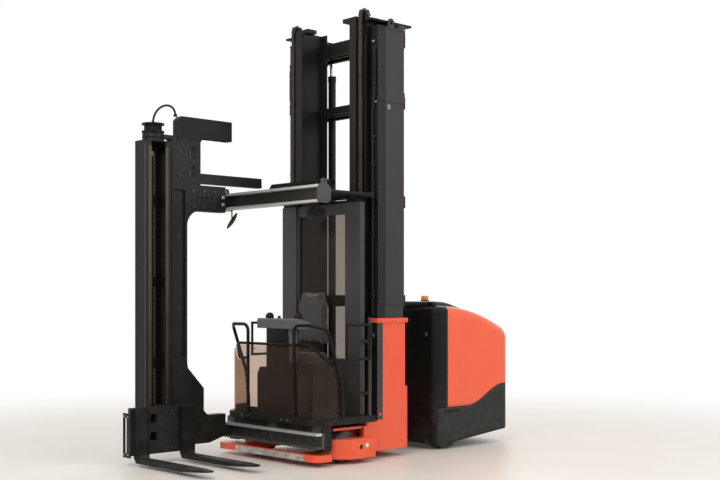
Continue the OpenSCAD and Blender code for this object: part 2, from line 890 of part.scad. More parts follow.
module console() {
    color(black) {
        // Leg shield with cut upper corners, and the stem
        translate([leg_x, 0, 0])
            rotate([90, 0, 90])
                linear_extrude(leg_d)
                    polygon([[console_right, floor_z], [console_left, floor_z], [console_left, leg_top - 70],
                        [console_left - 40, leg_top], [console_right + 40, leg_top], [console_right,
                            leg_top - 70]]);
        slab([leg_x + 20, -160, leg_top - 1], [leg_x + leg_d - 10, 200, desk_z]);
    }
    color(steel) {
        side_plate(console_right, console_left)
            polygon([[desk_back, desk_z], [desk_front, desk_z], [desk_front, desk_z + 85],
                [desk_front - 15, desk_z + 100],
                [desk_back, desk_z + 60], [desk_back - 12, desk_z + 45], [desk_back - 12, desk_z + 15]]);
        for (y = [pod_left, pod_right])
            translate([pod_x, y, desk_z + 50])
                cylinder(d = 76, h = pod_z - desk_z - 50);
    }
}
module control_pods() {
    color(black) {
        // Steering knob with a domed top
        translate([pod_x, pod_left, pod_z]) {
            cylinder(d = 60, h = 18);
            translate([0, 0, 18])
                intersection() {
                    sphere(d = 60, $fn = 96);
                    cylinder(d = 61, h = 31);
                }
        }
        // Control grip on its stem
        translate([pod_x, pod_right, pod_z]) {
            cylinder(d = 30, h = 24);
            translate([0, 0, 23])
                cylinder(d = 48, h = 22);
            translate([0, 0, 44])
                cylinder(d1 = 48, d2 = 30, h = 20);
        }
    }
}
module seat_base() {
    color(black) {
        // Pedestal, pan with round corners, and back plate
        slab([seat_x - 30, -140, floor_z], [seat_x + 170, 140, seat_z - 30]);
        translate([seat_x + 135, 0, seat_z - 30])
            linear_extrude(30)
                round_rect(330, 420, 40);
        slab([seat_x - 40, -100, seat_z - 1], [seat_x - 15, 100, seat_z + 370]);
    }
}
module seat_cushion() {
    color(charcoal)
        slab([seat_x, -230, seat_z + roll_gap], [seat_x + 360, 230, seat_z + 120]);
}
module seat_back() {
    color(charcoal)
        slab([seat_x - 15 + roll_gap, -220, seat_z + 170], [seat_x + 90, 220, seat_z + 750]);
}
// Energy chain on the roof guard: two runs of open links and the turn between them
module link_row() {
    for (i = [0:chain_links - 1])
        translate([chain_start + i * link_pitch, 0])
            round_rect(link_pitch + link_h - 8, link_h, link_h / 2 - 2);
}
module energy_chain() {
    turn = chain_run_gap / 2;
    color(black)
        translate([chain_x, 0, guard_z + 12.3 + link_h / 2]) {
            for (x = [0, link_w - link_t])
                translate([x, 0, 0])
                    rotate([90, 0, 90])
                        linear_extrude(link_t) {
                            link_row();
                            translate([0, chain_run_gap])
                                link_row();
                            intersection() {
                                translate([chain_start, turn])
                                    difference() {
                                        circle(r = turn + link_h / 2);
                                        circle(r = turn - link_h / 2);
                                    }
                                translate([chain_start - 300, turn - 300])
                                    square([300, 600]);
                            }
                        }
            // Cross bars of the links
            for (i = [0:chain_links - 1], z = [-link_h / 2, link_h / 2 - 6], run = [0, chain_run_gap])
                slab([link_t - 1, chain_start + i * link_pitch - 10, z + run],
                    [link_w - link_t + 1, chain_start + i * link_pitch + 10, z + run + 6]);
            for (a = [-60:40:60])
                translate([0, chain_start, turn])
                    rotate([a, 0, 0])
                        slab([link_t - 1, -turn - link_h / 2, -10], [link_w - link_t + 1,
                            6 - turn - link_h / 2, 10]);
            // End bracket down to the guard
            slab([link_t - 1, chain_end - 20, -link_h / 2], [link_w - link_t + 1, chain_end,
                chain_run_gap + link_h / 2]);
        }
}
// Round convex mirrors under the roof beam, turned towards the seat
module mirrors() {
    color(black)
        both_sides() {
            translate([mirror_x, mirror_y, mirror_z])
                rotate([0, 0, 45])
                    rotate([0, 180 + mirror_tilt, 0]) {
                        intersection() {
                            translate([0, 0, dish_h - dish_r])
                                sphere(r = dish_r, $fn = 96);
                            cylinder(r = mirror_r, h = dish_h + 1, $fn = 96);
                        }
                        translate([0, 0, -12])
                            cylinder(r = 20, h = 13);
                    }
            translate([mirror_x, mirror_y, mirror_z])
                cylinder(d = 14, h = roof_z - mirror_z - 0.3);
        }
}
module gate(side) {
    color(black)
        scale([1, side, 1]) {
            for (z = [gate_z - 165, gate_z + 165])
                translate([gate_x + 35, gate_y, z])
                    rotate([0, 90, 0])
                        cylinder(d = gate_d, h = 300);
            for (x = [gate_x + 35, gate_x + 335])
                translate([x, gate_y, gate_z - 165 - gate_d / 2])
                    cylinder(d = gate_d, h = 330 + gate_d);
            difference() {
                union() {
                    cross_bar(gate_x, gate_z + 60, 48, gate_y - 15, gate_y + 13);
                    slab([gate_x, gate_y - 10, gate_z + 48], [gate_x + 35, gate_y + 10, gate_z + 72]);
                }
                cross_bar(gate_x, gate_z + 60, 2 * (hinge_r + pin_fit), gate_y - 20, gate_y + 20);
            }
        }
}

// Turret head: column on the two beams, aux mast on its swivel, carriage and forks
col_back = swivel_x - 368;
col_front = swivel_x - 188;
col_low = 130;
arm_r = 150;
col_w = 100;
head_w = 340;
head_z = aux_h - 430;
bar_back = 380;
bar_h = 100;
lower_top = 410;
tray_back = 780;
tray_h = 240;
tray_t = 8;
pocket = 28;
foot_r = 105;
aux_x = 140;
aux_y = 100;
aux_flange = 60;
aux_low = 221;
swivel_pin = 30;
carriage_l = 720;
carriage_h = 450;
carriage_t = 50;
carriage_z = 100;
carriage_y = swivel_y + 130;
bracket_t = 14;
bracket_out = 70;
bracket_gap = 40;
bracket_low = -20;
bracket_h = 420;
bracket_rim = 35;
window_w = 80;
cheek_t = 10;
heel_r = 38;
tip_t = 12;
tip_taper = 420;
shank_h = 60;
fork_z = 30;
tip_side = 160;
tip_r = 38;
module head_plate(points) {
    side_plate(swivel_y - col_w / 2, swivel_y + col_w / 2)
        polygon(points);
}
module runner(z, h) {
    slab([beam_back + beam_web + run_gap, swivel_y - 44, z + beam_flange + roll_gap],
        [beam_front + 13, swivel_y + 44, z + h - beam_flange - roll_gap]);
}
module oval(l, d) {
    square([l - d, d], center = true);
    for (s = [-1, 1])
        translate([s * (l - d) / 2, 0])
            circle(d = d);
}
module traverse_column() {
    arm_back = beam_front + 12;
    color(charcoal) {
        difference() {
            union() {
                head_plate([[arm_back, col_low + 60], [arm_back, lower_top], [col_back - 250, lower_top],
                    [col_back - 200, lower_top + 50], [col_back - 200, lower_top + 275], [col_back - 8,
                        lower_top + 485],
                    [col_back + 1, lower_top + 540], [col_back + 1, col_low], [arm_back + 200, col_low]]);
                slab([arm_back, swivel_y - col_w / 2, roof_z - 30], [col_back + 1,
                    swivel_y + col_w / 2, head_z]);
                side_plate(swivel_y - col_w / 2, swivel_y + col_w / 2)
                    difference() {
                        translate([col_back - arm_r, roof_z - 30 - arm_r])
                            square([arm_r + 1, arm_r + 1]);
                        translate([col_back - arm_r, roof_z - 30 - arm_r])
                            circle(r = arm_r);
                    }
                slab([col_back, swivel_y - col_w / 2, col_low], [col_front, swivel_y + col_w / 2, aux_h]);
                slab([col_front - head_w, swivel_y - col_w / 2, head_z], [col_front,
                    swivel_y + col_w / 2, aux_h]);
                slab([bar_back, swivel_y - 35, head_z + 20], [col_front - head_w + 1, swivel_y + 35,
                    head_z + 20 + bar_h]);
                // Caps of the guide roller axles beside the roof beam
                for (z = [roof_z + 50, roof_z + 120])
                    cross_bar(arm_back + 36, z, 44, swivel_y - col_w / 2 - 10, swivel_y + col_w / 2 + 10);
                // Foot and head plates of the swivel
                for (z = [col_low, aux_h]) {
                    slab([col_front - 60, swivel_y - 45, z], [swivel_x, swivel_y + 45, z + 40]);
                    translate([swivel_x, swivel_y, z])
                        cylinder(r = foot_r, h = 40);
                }
            }
            // Panels set in on both sides between the edge ribs, and weight holes in the upper arm
            for (y = [swivel_y - col_w / 2 - 1, swivel_y + col_w / 2 - pocket])
                slab([col_back + 24, y, lower_top + 600], [col_front - 24, y + pocket + 1, head_z - 60]);
            for (i = [0:3])
                cross_bar(col_back - 290 + i * 55, roof_z + 105, 22, swivel_y - col_w, swivel_y + col_w);
            for (z = [head_z + 120, head_z + 310])
                side_plate(swivel_y - col_w, swivel_y + col_w)
                    translate([col_front - head_w + 90, z])
                        rotate(90)
                            oval(150, 70);
            translate([swivel_x, swivel_y, 0])
                cylinder(r = swivel_pin + pin_fit, h = aux_h + 100);
        }
        runner(low_beam_z, beam_h);
        runner(roof_z, roof_beam_h);
    }
}
module hose_arm() {
    color(charcoal)
        difference() {
            side_plate(swivel_y - col_w / 2 + 10, swivel_y + col_w / 2)
                polygon([[tray_back, aux_h + tray_h - 200], [tray_back, aux_h + tray_h - 6],
                    [tray_back + 6, aux_h + tray_h],
                    [col_front - 110, aux_h + tray_h], [col_front - 70, aux_h + tray_h - 40],
                        [col_front - 70, aux_h],
                    [col_front - head_w, aux_h], [col_front - head_w - 30, aux_h + tray_h - 200]]);
            // Hollow for the hoses, open below
            slab([tray_back + tray_t, swivel_y - col_w / 2 + 10 + tray_t, aux_h - 1],
                [col_front - head_w - 40, swivel_y + col_w / 2 - tray_t, aux_h + tray_h - tray_t]);
        }
}
module aux_mast() {
    color(charcoal)
        translate([swivel_x, swivel_y, 0]) {
            for (s = [-1, 1])
                scale([s, 1, 1])
                    difference() {
                        slab([aux_x - aux_flange, -aux_y, aux_low - 1], [aux_x, aux_y, aux_h - 40]);
                        slab([aux_x - aux_flange - 1, -aux_y + 18, aux_low + 30],
                            [aux_x - 14, aux_y - 18, aux_h - 80]);
                    }
            for (z = [aux_low - 1, 900, 1700, 2500, aux_h - 140])
                slab([-aux_x + 1, -aux_y, z], [aux_x - 1, -aux_y + 17, z + 100]);
            for (z = [aux_low - 45, aux_h - 41])
                translate([0, 0, z])
                    cylinder(r = foot_r, h = 35);
            slab([-aux_x + 1, -aux_y, aux_low - 11], [aux_x - 1, aux_y, aux_low]);
            slab([-aux_x + 1, -aux_y, aux_h - 42], [aux_x - 1, aux_y, aux_h - 32]);
            translate([0, 0, col_low - 10])
                cylinder(r = swivel_pin, h = 60);
            translate([0, 0, aux_h - 30])
                cylinder(r = swivel_pin, h = 80);
        }
}
module swivel_drum() {
    color(black)
        translate([swivel_x, swivel_y, aux_h + 50]) {
            cylinder(r = 110, h = 15);
            cylinder(r = 70, h = 90);
            translate([0, 0, 75])
                cylinder(r = 110, h = 15);
        }
}
module fork_carriage() {
    color(charcoal) {
        // Plate with two windows beside the guide block
        difference() {
            slab([swivel_x - carriage_l / 2, carriage_y, carriage_z],
                [swivel_x + carriage_l / 2, carriage_y + carriage_t, carriage_z + carriage_h]);
            for (z = [130, 300])
                slab([swivel_x + 72, carriage_y - 1, carriage_z + z],
                    [swivel_x + 72 + window_w, carriage_y + carriage_t + 1, carriage_z + z + window_w]);
        }
        // Cheeks and hooks that hold the two fork shanks
        for (s = [-1, 1], t = [-1, 1])
            translate([swivel_x + s * fork_pitch / 2 + t * (fork_w / 2 + cheek_t / 2 + roll_gap), 0, 0])
                slab([-cheek_t / 2, carriage_y + carriage_t - 1, carriage_z - 30],
                    [cheek_t / 2, carriage_y + carriage_t + fork_t + 12, carriage_z + carriage_h - 10]);
        // Guide block and rollers in the channels of the aux mast
        slab([swivel_x - 60, swivel_y - 40, aux_low + 60], [swivel_x + 60, carriage_y + 1,
            carriage_z + carriage_h]);
        for (z = [aux_low + 100, carriage_z + carriage_h - 50], s = [-1, 1])
            translate([swivel_x + s * 59, swivel_y, z])
                rotate([0, s * 90, 0])
                    cylinder(d = 76, h = aux_x - 14 - roll_gap - 59);
        // Open bracket behind the front end
        translate([swivel_x + carriage_l / 2, carriage_y, carriage_z])
            rotate([90, 0, 90])
                linear_extrude(bracket_t)
                    difference() {
                        translate([-bracket_out, bracket_low])
                            square([bracket_out + carriage_t, bracket_h]);
                        translate([-bracket_gap / 2 - 6, bracket_low + bracket_h / 2])
                            rotate(90)
                                oval(bracket_h - 2 * bracket_rim, bracket_gap);
                    }
    }
}
module forks() {
    color(black)
        for (s = [-1, 1])
            translate([swivel_x + s * fork_pitch / 2, carriage_y + carriage_t + roll_gap, 0])
                intersection() {
                    // Side view: shank, round heel, blade that thins to its tip from below
                    translate([-fork_w / 2, 0, fork_z])
                        rotate([90, 0, 90])
                            linear_extrude(fork_w) {
                                translate([heel_r, heel_r])
                                    circle(r = heel_r);
                                polygon([[0, heel_r], [fork_t, heel_r], [fork_t, carriage_h + shank_h],
                                    [0, carriage_h + shank_h]]);
                                polygon([[heel_r, 0], [fork_len - tip_taper, 0], [fork_len, fork_t - tip_t],
                                    [fork_len, fork_t], [heel_r, fork_t]]);
                            }
                    // Plan: the blade narrows to a round tip
                    translate([0, 0, -1])
                        linear_extrude(fork_z + carriage_h + 2 * shank_h) {
                            polygon([[-fork_w / 2, -1], [fork_w / 2, -1], [fork_w / 2, fork_len - tip_side],
                                [tip_r, fork_len - tip_r], [-tip_r, fork_len - tip_r], [-fork_w / 2,
                                    fork_len - tip_side]]);
                            translate([0, fork_len - tip_r])
                                circle(r = tip_r);
                        }
                }
}

chassis_frame();
front_skid();
outer_mast();
outer_ties();
lift_cylinders();
road_wheel(load_axle_x, load_wheel_y, load_wheel_d, load_wheel_w, axle_d);  // load_wheel_left
road_wheel(load_axle_x, -load_wheel_y, load_wheel_d, load_wheel_w, axle_d);  // load_wheel_right
unit_frame();
battery();
hood();
front_shroud();
top_cover();
skirt();
beacon();
road_wheel(drive_axle_x, drive_y, drive_wheel_d, drive_wheel_w, drive_axle_d);  // drive_wheel_left
road_wheel(drive_axle_x, -drive_y, drive_wheel_d, drive_wheel_w, drive_axle_d);  // drive_wheel_right
middle_mast();
cylinder_rods();
inner_mast();
inner_ties();
lift_chains();
cab_floor();
lower_beam();
roof_beam();
cab_pillars();
rear_window();
roof_guard();
front_screen();
grab_hoops();
front_rail();
console();
control_pods();
seat_base();
seat_cushion();
seat_back();
energy_chain();
mirrors();
gate(1);  // gate_left
gate(-1);  // gate_right
traverse_column();
hose_arm();
aux_mast();
swivel_drum();
fork_carriage();
forks();
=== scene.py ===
import math

import bmesh
import bpy
from mathutils import Matrix, Vector


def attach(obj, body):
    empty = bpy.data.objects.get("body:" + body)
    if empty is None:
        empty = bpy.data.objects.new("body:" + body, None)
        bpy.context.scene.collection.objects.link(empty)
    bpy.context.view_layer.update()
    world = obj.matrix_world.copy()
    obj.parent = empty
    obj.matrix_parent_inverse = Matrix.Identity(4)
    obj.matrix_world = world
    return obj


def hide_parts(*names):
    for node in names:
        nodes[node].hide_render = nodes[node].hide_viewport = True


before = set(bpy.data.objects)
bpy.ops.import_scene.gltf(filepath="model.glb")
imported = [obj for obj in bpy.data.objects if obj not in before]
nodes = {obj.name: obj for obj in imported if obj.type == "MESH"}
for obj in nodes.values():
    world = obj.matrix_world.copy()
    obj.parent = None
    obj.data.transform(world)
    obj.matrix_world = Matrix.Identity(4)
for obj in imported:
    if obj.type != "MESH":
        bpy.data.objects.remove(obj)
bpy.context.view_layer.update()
print("frame loaded with", len(nodes), "nodes")


# a node socket that takes part in expressions
class Wire:
    def __init__(self, tree, socket=None):
        self.tree, self.socket = tree, socket

    # any node: its type, its settings, its inputs, the output that is wanted
    def add(self, kind, settings=None, inputs=None, out=0):
        node = self.tree.nodes.new(kind)
        for key, value in (settings or {}).items():
            setattr(node, key, value)
        for key, value in (inputs or {}).items():
            socket = node.inputs[key]
            for item in value if isinstance(value, list) else [value]:
                if isinstance(item, Wire):
                    self.tree.links.new(item.socket, socket)
                elif socket.type == "RGBA" and len(item) == 3:
                    socket.default_value = (*item, 1)
                else:
                    socket.default_value = item
        return Wire(self.tree, node.outputs[out] if node.outputs else None)

    def maths(self, operation, first, second=0.0):
        return self.add("ShaderNodeMath", {"operation": operation}, {0: first, 1: second})

    def __add__(self, other): return self.maths("ADD", self, other)
    def __radd__(self, other): return self.maths("ADD", other, self)
    def __sub__(self, other): return self.maths("SUBTRACT", self, other)
    def __rsub__(self, other): return self.maths("SUBTRACT", other, self)
    def __mul__(self, other): return self.maths("MULTIPLY", self, other)
    def __rmul__(self, other): return self.maths("MULTIPLY", other, self)
    def __pow__(self, other): return self.maths("POWER", self, other)

    # 0 below low, 1 above high, smooth between
    def step(self, low, high):
        return self.add("ShaderNodeMapRange", {"interpolation_type": "SMOOTHSTEP"}, {0: self, 1: low, 2: high})

    # this value as the factor between two colours
    def tint(self, dark, light):
        return self.add("ShaderNodeMix", {"data_type": "RGBA"}, {0: self, 6: dark, 7: light}, out=2)

    def noise(self, scale, detail=3.0):
        return self.add("ShaderNodeTexNoise", {}, {"Vector": self, "Scale": scale, "Detail": detail})

    def stretched(self, x, y, z):
        return self.add("ShaderNodeVectorMath", {"operation": "MULTIPLY"}, {0: self, 1: (x, y, z)})

    def part(self, axis):
        return self.add("ShaderNodeSeparateXYZ", {}, {0: self}, out=axis)


# what every finish starts from, and what each one has of its own
plainLook = {"worn": (0.03, 0.03, 0.03), "rough": 0.5, "metal": 0.0, "coat": 0.0, "gloss": 0.5, "sheen": 0.0,
             "peel": 0.05, "edge": 0.001, "dust": 0.1, "shade": 0.2}
finishes = {
    "orangePaint": {"base": (0.87, 0.105, 0.032), "worn": (0.93, 0.2, 0.09), "rough": 0.36, "coat": 0.35,
        "edge": 0.004, "shade": 0.06},
    "blackPaint": {"base": (0.0055, 0.0052, 0.005), "worn": (0.03, 0.028, 0.026), "rough": 0.42,
        "gloss": 0.16, "peel": 0.06, "edge": 0.003, "dust": 0.07, "shade": 0.4},
    "charcoalPaint": {"base": (0.0085, 0.008, 0.0073), "worn": (0.04, 0.037, 0.034), "rough": 0.46,
        "gloss": 0.2, "peel": 0.08, "edge": 0.003, "dust": 0.06, "shade": 0.3},
    "coverPaint": {"base": (0.033, 0.0315, 0.03), "worn": (0.07, 0.067, 0.062), "gloss": 0.25, "peel": 0.1,
        "edge": 0.004, "dust": 0.08},
    "pillarPaint": {"base": (0.045, 0.043, 0.041), "worn": (0.1, 0.096, 0.09), "rough": 0.4, "gloss": 0.3,
        "peel": 0.06, "edge": 0.003, "dust": 0.08},
    "chainSteel": {"base": (0.055, 0.042, 0.032), "worn": (0.3, 0.25, 0.2), "rough": 0.42, "metal": 0.75,
        "peel": 0.15, "shade": 0.5},
    "boltSteel": {"base": (0.62, 0.61, 0.59), "worn": (0.85, 0.84, 0.82), "rough": 0.3, "metal": 0.95,
        "peel": 0.04, "edge": 0.0006, "dust": 0.05, "shade": 0.15},
    "darkBolt": {"base": (0.05, 0.048, 0.045), "worn": (0.3, 0.29, 0.27), "rough": 0.4, "metal": 0.7,
        "edge": 0.0006, "shade": 0.3},
    "chrome": {"base": (0.72, 0.72, 0.73), "worn": (0.85, 0.85, 0.85), "rough": 0.12, "metal": 1.0,
        "peel": 0.01, "edge": 0.002, "dust": 0.02, "shade": 0.05},
    "battery": {"base": (0.03, 0.03, 0.031), "worn": (0.08, 0.08, 0.08), "rough": 0.6, "peel": 0.15,
        "edge": 0.006, "dust": 0.3, "shade": 0.3},
    "blackPlastic": {"base": (0.005, 0.005, 0.0051), "rough": 0.45, "gloss": 0.16, "peel": 0.3,
        "edge": 0.004},
    "charcoalPlastic": {"base": (0.016, 0.0155, 0.0145), "worn": (0.06, 0.06, 0.06), "rough": 0.55,
        "gloss": 0.3, "peel": 0.35, "edge": 0.004, "dust": 0.06, "shade": 0.25},
    "greyPlastic": {"base": (0.085, 0.09, 0.094), "worn": (0.2, 0.2, 0.2), "peel": 0.3, "edge": 0.005,
        "dust": 0.06, "shade": 0.12},
    "hoseRubber": {"base": (0.006, 0.006, 0.006), "gloss": 0.3, "peel": 0.25, "dust": 0.12},
    "whitePlastic": {"base": (0.75, 0.75, 0.73), "worn": (0.8, 0.8, 0.8), "rough": 0.4, "shade": 0.1},
    "stripSteel": {"base": (0.62, 0.62, 0.61), "worn": (0.82, 0.82, 0.8), "rough": 0.33, "metal": 0.85,
        "dust": 0.05, "shade": 0.15},
}
materials = {}
weather = {"clouds": 3.5, "streaks": (26, 26, 1.1), "grain": 520, "rub": 60, "dustScale": 9, "dustTop": 0.9,
           "dustColour": (0.36, 0.33, 0.29), "bumpDepth": 0.0015}


# a cleared material, its wire and the place on the object
def startMaterial(name):
    material = bpy.data.materials.new(name)
    material.use_nodes = True
    material.node_tree.nodes.clear()
    materials[name] = material
    wire = Wire(material.node_tree)
    return wire, wire.add("ShaderNodeTexCoord", out="Object")


def surface(name, own, recolour=None, relief=None):
    look = {**plainLook, **own}
    wire, place = startMaterial(name)
    facing = wire.add("ShaderNodeNewGeometry", out="Normal")
    rounded = wire.add("ShaderNodeBevel", {"samples": 4}, {"Radius": look["edge"]})
    turn = wire.add("ShaderNodeVectorMath", {"operation": "DOT_PRODUCT"}, {0: facing, 1: rounded}, out="Value")
    clouds = place.noise(weather["clouds"], 4.0)
    streaks = place.stretched(*weather["streaks"]).noise(1.0, 3.0)
    grain = place.noise(weather["grain"], 2.0)
    # shade varies in soft clouds and thin runs, edges rub through, dust lies low and on what faces up
    mottle = (clouds * 0.6 + streaks * 0.4).step(0.3, 0.7)
    deep = tuple(c * (1 - look["shade"] * 0.5) for c in look["base"])
    light = tuple(min(1, c * (1 + look["shade"] * 0.5)) for c in look["base"])
    colour, metal = mottle.tint(deep, light), look["metal"]
    if recolour:
        colour, metal = recolour(place, colour)
    edge = ((1 - turn) * 5).step(0.12, 0.9) * place.noise(weather["rub"]).step(0.42, 0.62)
    colour = (edge * 0.7).tint(colour, look["worn"])
    low = 1 - place.part("Z").step(0.05, weather["dustTop"])
    upward = facing.part("Z").step(0.35, 0.95)
    dust = (low * 0.7 + upward * 0.6) * place.noise(weather["dustScale"], 5.0).step(0.35, 0.75) * look["dust"]
    colour = dust.tint(colour, weather["dustColour"])
    rough = look["rough"] + dust * 0.5 + (mottle - 0.5) * 0.07 - edge * 0.08
    height = grain if relief is None else grain * 0.3 + relief(place) * 0.7
    normal = wire.add("ShaderNodeBump", {}, {"Strength": look["peel"], "Distance": weather["bumpDepth"],
                                             "Height": height, "Normal": rounded}, out="Normal")
    shader = wire.add("ShaderNodeBsdfPrincipled", {}, {
        "Base Color": colour, "Roughness": rough, "Metallic": metal, "Coat Weight": look["coat"],
        "Specular IOR Level": look["gloss"], "Coat Roughness": 0.2, "Sheen Weight": look["sheen"], "Normal": normal})
    wire.add("ShaderNodeOutputMaterial", {}, {"Surface": shader})


for name, look in finishes.items():
    surface(name, look)


# brushed rail steel inside a mask, a dark colour outside it: dark paint on the lower beam, painted shade in the roof
# beam's recess
def railColours(place, mask, dark, dull, bright):
    lines = place.stretched(0.4, 0.4, 300).noise(1.0, 2.0)
    return mask.tint(dark, lines.tint(dull, bright)), mask * 0.7


# the dark colour off the silver front faces is painted shade, for the shade in the beam's recess
def roofBeamColours(place, colour):
    y = place.part("Y")
    front = place.part("X").step(0.782, 0.785) * (1 - y.maths("ABSOLUTE", y).step(0.7502, 0.7512))
    return railColours(place, front, (0.016, 0.0155, 0.0145), (0.60, 0.60, 0.58), (0.80, 0.80, 0.77))


def lowBeamColours(place, colour):
    strip = place.part("Z").step(0.293, 0.295) * place.part("X").step(0.782, 0.785)
    return railColours(place, strip, (0.032, 0.030, 0.027), (0.50, 0.50, 0.48), (0.70, 0.70, 0.67))


# joints between the mouldings of the skirt
def skirtColours(place, colour):
    x, z = place.part("X") + place.part("Z") * 0.12, place.part("Z")
    upright = x.step(-1.3370, -1.3345) * (1 - x.step(-1.3300, -1.3275)) * (1 - z.step(0.415, 0.418))
    level = z.step(0.2515, 0.2530) * (1 - z.step(0.2560, 0.2575)) * (1 - x.step(-1.3345, -1.3330))
    return (upright + level).step(0.0, 0.9).tint(colour, (0.002, 0.002, 0.002)), 0.0


def skidColours(place, colour):
    return place.noise(14).step(0.35, 0.7).tint((0.42, 0.40, 0.36), (0.66, 0.65, 0.61)), 0.55


# the socket is orange behind the dark edge of the mast, under its collar
def chassisColours(place, colour):
    x, z = place.part("X"), place.part("Z")
    across = x.step(-0.082, -0.080) * (1 - x.step(0.02, 0.022))
    strip = across * z.step(0.384, 0.386) * (1 - z.step(1.344, 1.346))
    return strip.tint(colour, (0.010, 0.0095, 0.009)), 0.0


# the grey cover colour stops at x = -0.127, and the mast is near black in front of it
def mastColours(place, colour):
    cover = 1 - place.part("X").step(-0.128, -0.126)
    return cover.tint((0.007, 0.0066, 0.006), colour), 0.0


# light tread band and dark hub of a wheel, by distance from its axle
def wheelColours(axleX, axleZ, rim):
    def colours(place, colour):
        x = place.part("X") - axleX
        z = place.part("Z") - axleZ
        outside = ((x * x + z * z) ** 0.5).step(rim - 0.002, rim)
        worn = place.noise(40).tint((0.016, 0.016, 0.016), (0.035, 0.034, 0.032))
        return outside.tint(colour, worn), (1 - outside) * 0.3
    return colours


silverLook = {"base": (0.7, 0.7, 0.69), "worn": (0.85, 0.85, 0.83), "rough": 0.36, "edge": 0.002, "dust": 0.06,
              "shade": 0.1}
surface("roofBeamMetal", silverLook, roofBeamColours)
surface("lowBeamMetal", silverLook, lowBeamColours)
surface("skidMetal", silverLook, skidColours)
surface("charcoalCover", dict(finishes["charcoalPaint"], base=(0.012, 0.011, 0.0095)))
surface("skirtPlastic", finishes["charcoalPlastic"], skirtColours)
surface("chassisPaint", dict(finishes["orangePaint"], base=(0.82, 0.082, 0.020)), chassisColours)
surface("mastPaint", finishes["coverPaint"], mastColours)
hubLook = {"base": (0.10, 0.10, 0.10), "worn": (0.2, 0.2, 0.2), "rough": 0.6, "peel": 0.2, "edge": 0.003, "dust": 0.4}
surface("loadTyre", hubLook, wheelColours(0.4, 0.15, 0.12))
surface("driveTyre", hubLook, wheelColours(-1.1, 0.18, 0.15))


# woven seat cloth: two crossed sets of threads
def weaveHeight(place):
    u = place.part("Y") * 2200
    v = (place.part("X") + place.part("Z")) * 2200
    return (u.maths("SINE", u) * v.maths("SINE", v) + 1) * 0.5


def fabricColours(place, colour):
    thread = weaveHeight(place)
    return thread.tint((0.012, 0.0105, 0.0095), (0.040, 0.034, 0.029)), 0.0


fabricLook = {"base": (0.03, 0.027, 0.025), "worn": (0.05, 0.045, 0.04), "rough": 0.85, "peel": 0.6, "edge": 0.002,
              "sheen": 0.35}
surface("seatFabric", fabricLook, fabricColours, weaveHeight)
surface("seatPiping", dict(fabricLook, base=(0.01, 0.01, 0.01), peel=0.3, rough=0.7))
surface("floorMat", {"base": (0.012, 0.012, 0.012), "rough": 0.7, "peel": 0.4, "dust": 0.5})


# a see-through tint with a share of grey shine, larger where the sheet is smeared
def clearSheet(name, tint, cover, rough):
    wire, place = startMaterial(name)
    smears = place.stretched(1, 1, 2.5).noise(1.6, 2.0).step(0.35, 0.8)
    glass = wire.add("ShaderNodeBsdfTransparent", {}, {"Color": tint})
    shine = wire.add("ShaderNodeBsdfPrincipled", {}, {"Base Color": (0.16, 0.135, 0.12), "Roughness": rough,
                                                      "Specular IOR Level": 0.5})
    shader = wire.add("ShaderNodeMixShader", {}, {0: smears * 0.04 + cover, 1: glass, 2: shine})
    wire.add("ShaderNodeOutputMaterial", {}, {"Surface": shader})


clearSheet("tintedSheet", (0.80, 0.69, 0.62), 0.11, 0.08)
clearSheet("rearGlass", (0.52, 0.49, 0.46), 0.12, 0.08)


def amberLens():
    wire, place = startMaterial("amberLens")
    colour = place.stretched(1, 1, 1).noise(90).step(0.3, 0.7).tint((0.80, 0.20, 0.01), (0.95, 0.38, 0.03))
    shader = wire.add("ShaderNodeBsdfPrincipled", {}, {
        "Base Color": colour, "Roughness": 0.16, "Coat Weight": 0.6, "Transmission Weight": 0.25,
        "Emission Color": colour, "Emission Strength": 0.12})
    wire.add("ShaderNodeOutputMaterial", {}, {"Surface": shader})


amberLens()
print("materials:", len(materials))

cadFinish = {
    "chassisPaint": ["chassis_frame"],
    "skidMetal": ["front_skid"],
    "lowBeamMetal": ["lower_beam"],
    "roofBeamMetal": ["roof_beam"],
    "mastPaint": ["outer_mast"],
    "charcoalCover": ["traverse_column"],
    "charcoalPaint": ["inner_mast", "outer_ties", "inner_ties", "cab_floor", "aux_mast", "fork_carriage"],
    "blackPaint": ["lift_cylinders", "unit_frame", "middle_mast", "roof_guard", "grab_hoops", "front_rail",
                   "seat_base", "gate_left", "gate_right", "hose_arm", "forks"],
    "loadTyre": ["load_wheel_left", "load_wheel_right"],
    "driveTyre": ["drive_wheel_left", "drive_wheel_right"],
    "battery": ["battery"],
    "blackPlastic": ["energy_chain", "mirrors", "swivel_drum"],
    "chrome": ["cylinder_rods"],
    "chainSteel": ["lift_chains"],
    "pillarPaint": ["cab_pillars"],
    "greyPlastic": ["console"],
    "tintedSheet": ["front_screen"],
    "rearGlass": ["rear_window"],
}
for name, owners in cadFinish.items():
    for owner in owners:
        nodes[owner].material_slots[0].material = materials[name]


def newObject(name, data):
    made = bpy.data.objects.new(name, data)
    bpy.context.scene.collection.objects.link(made)
    return made


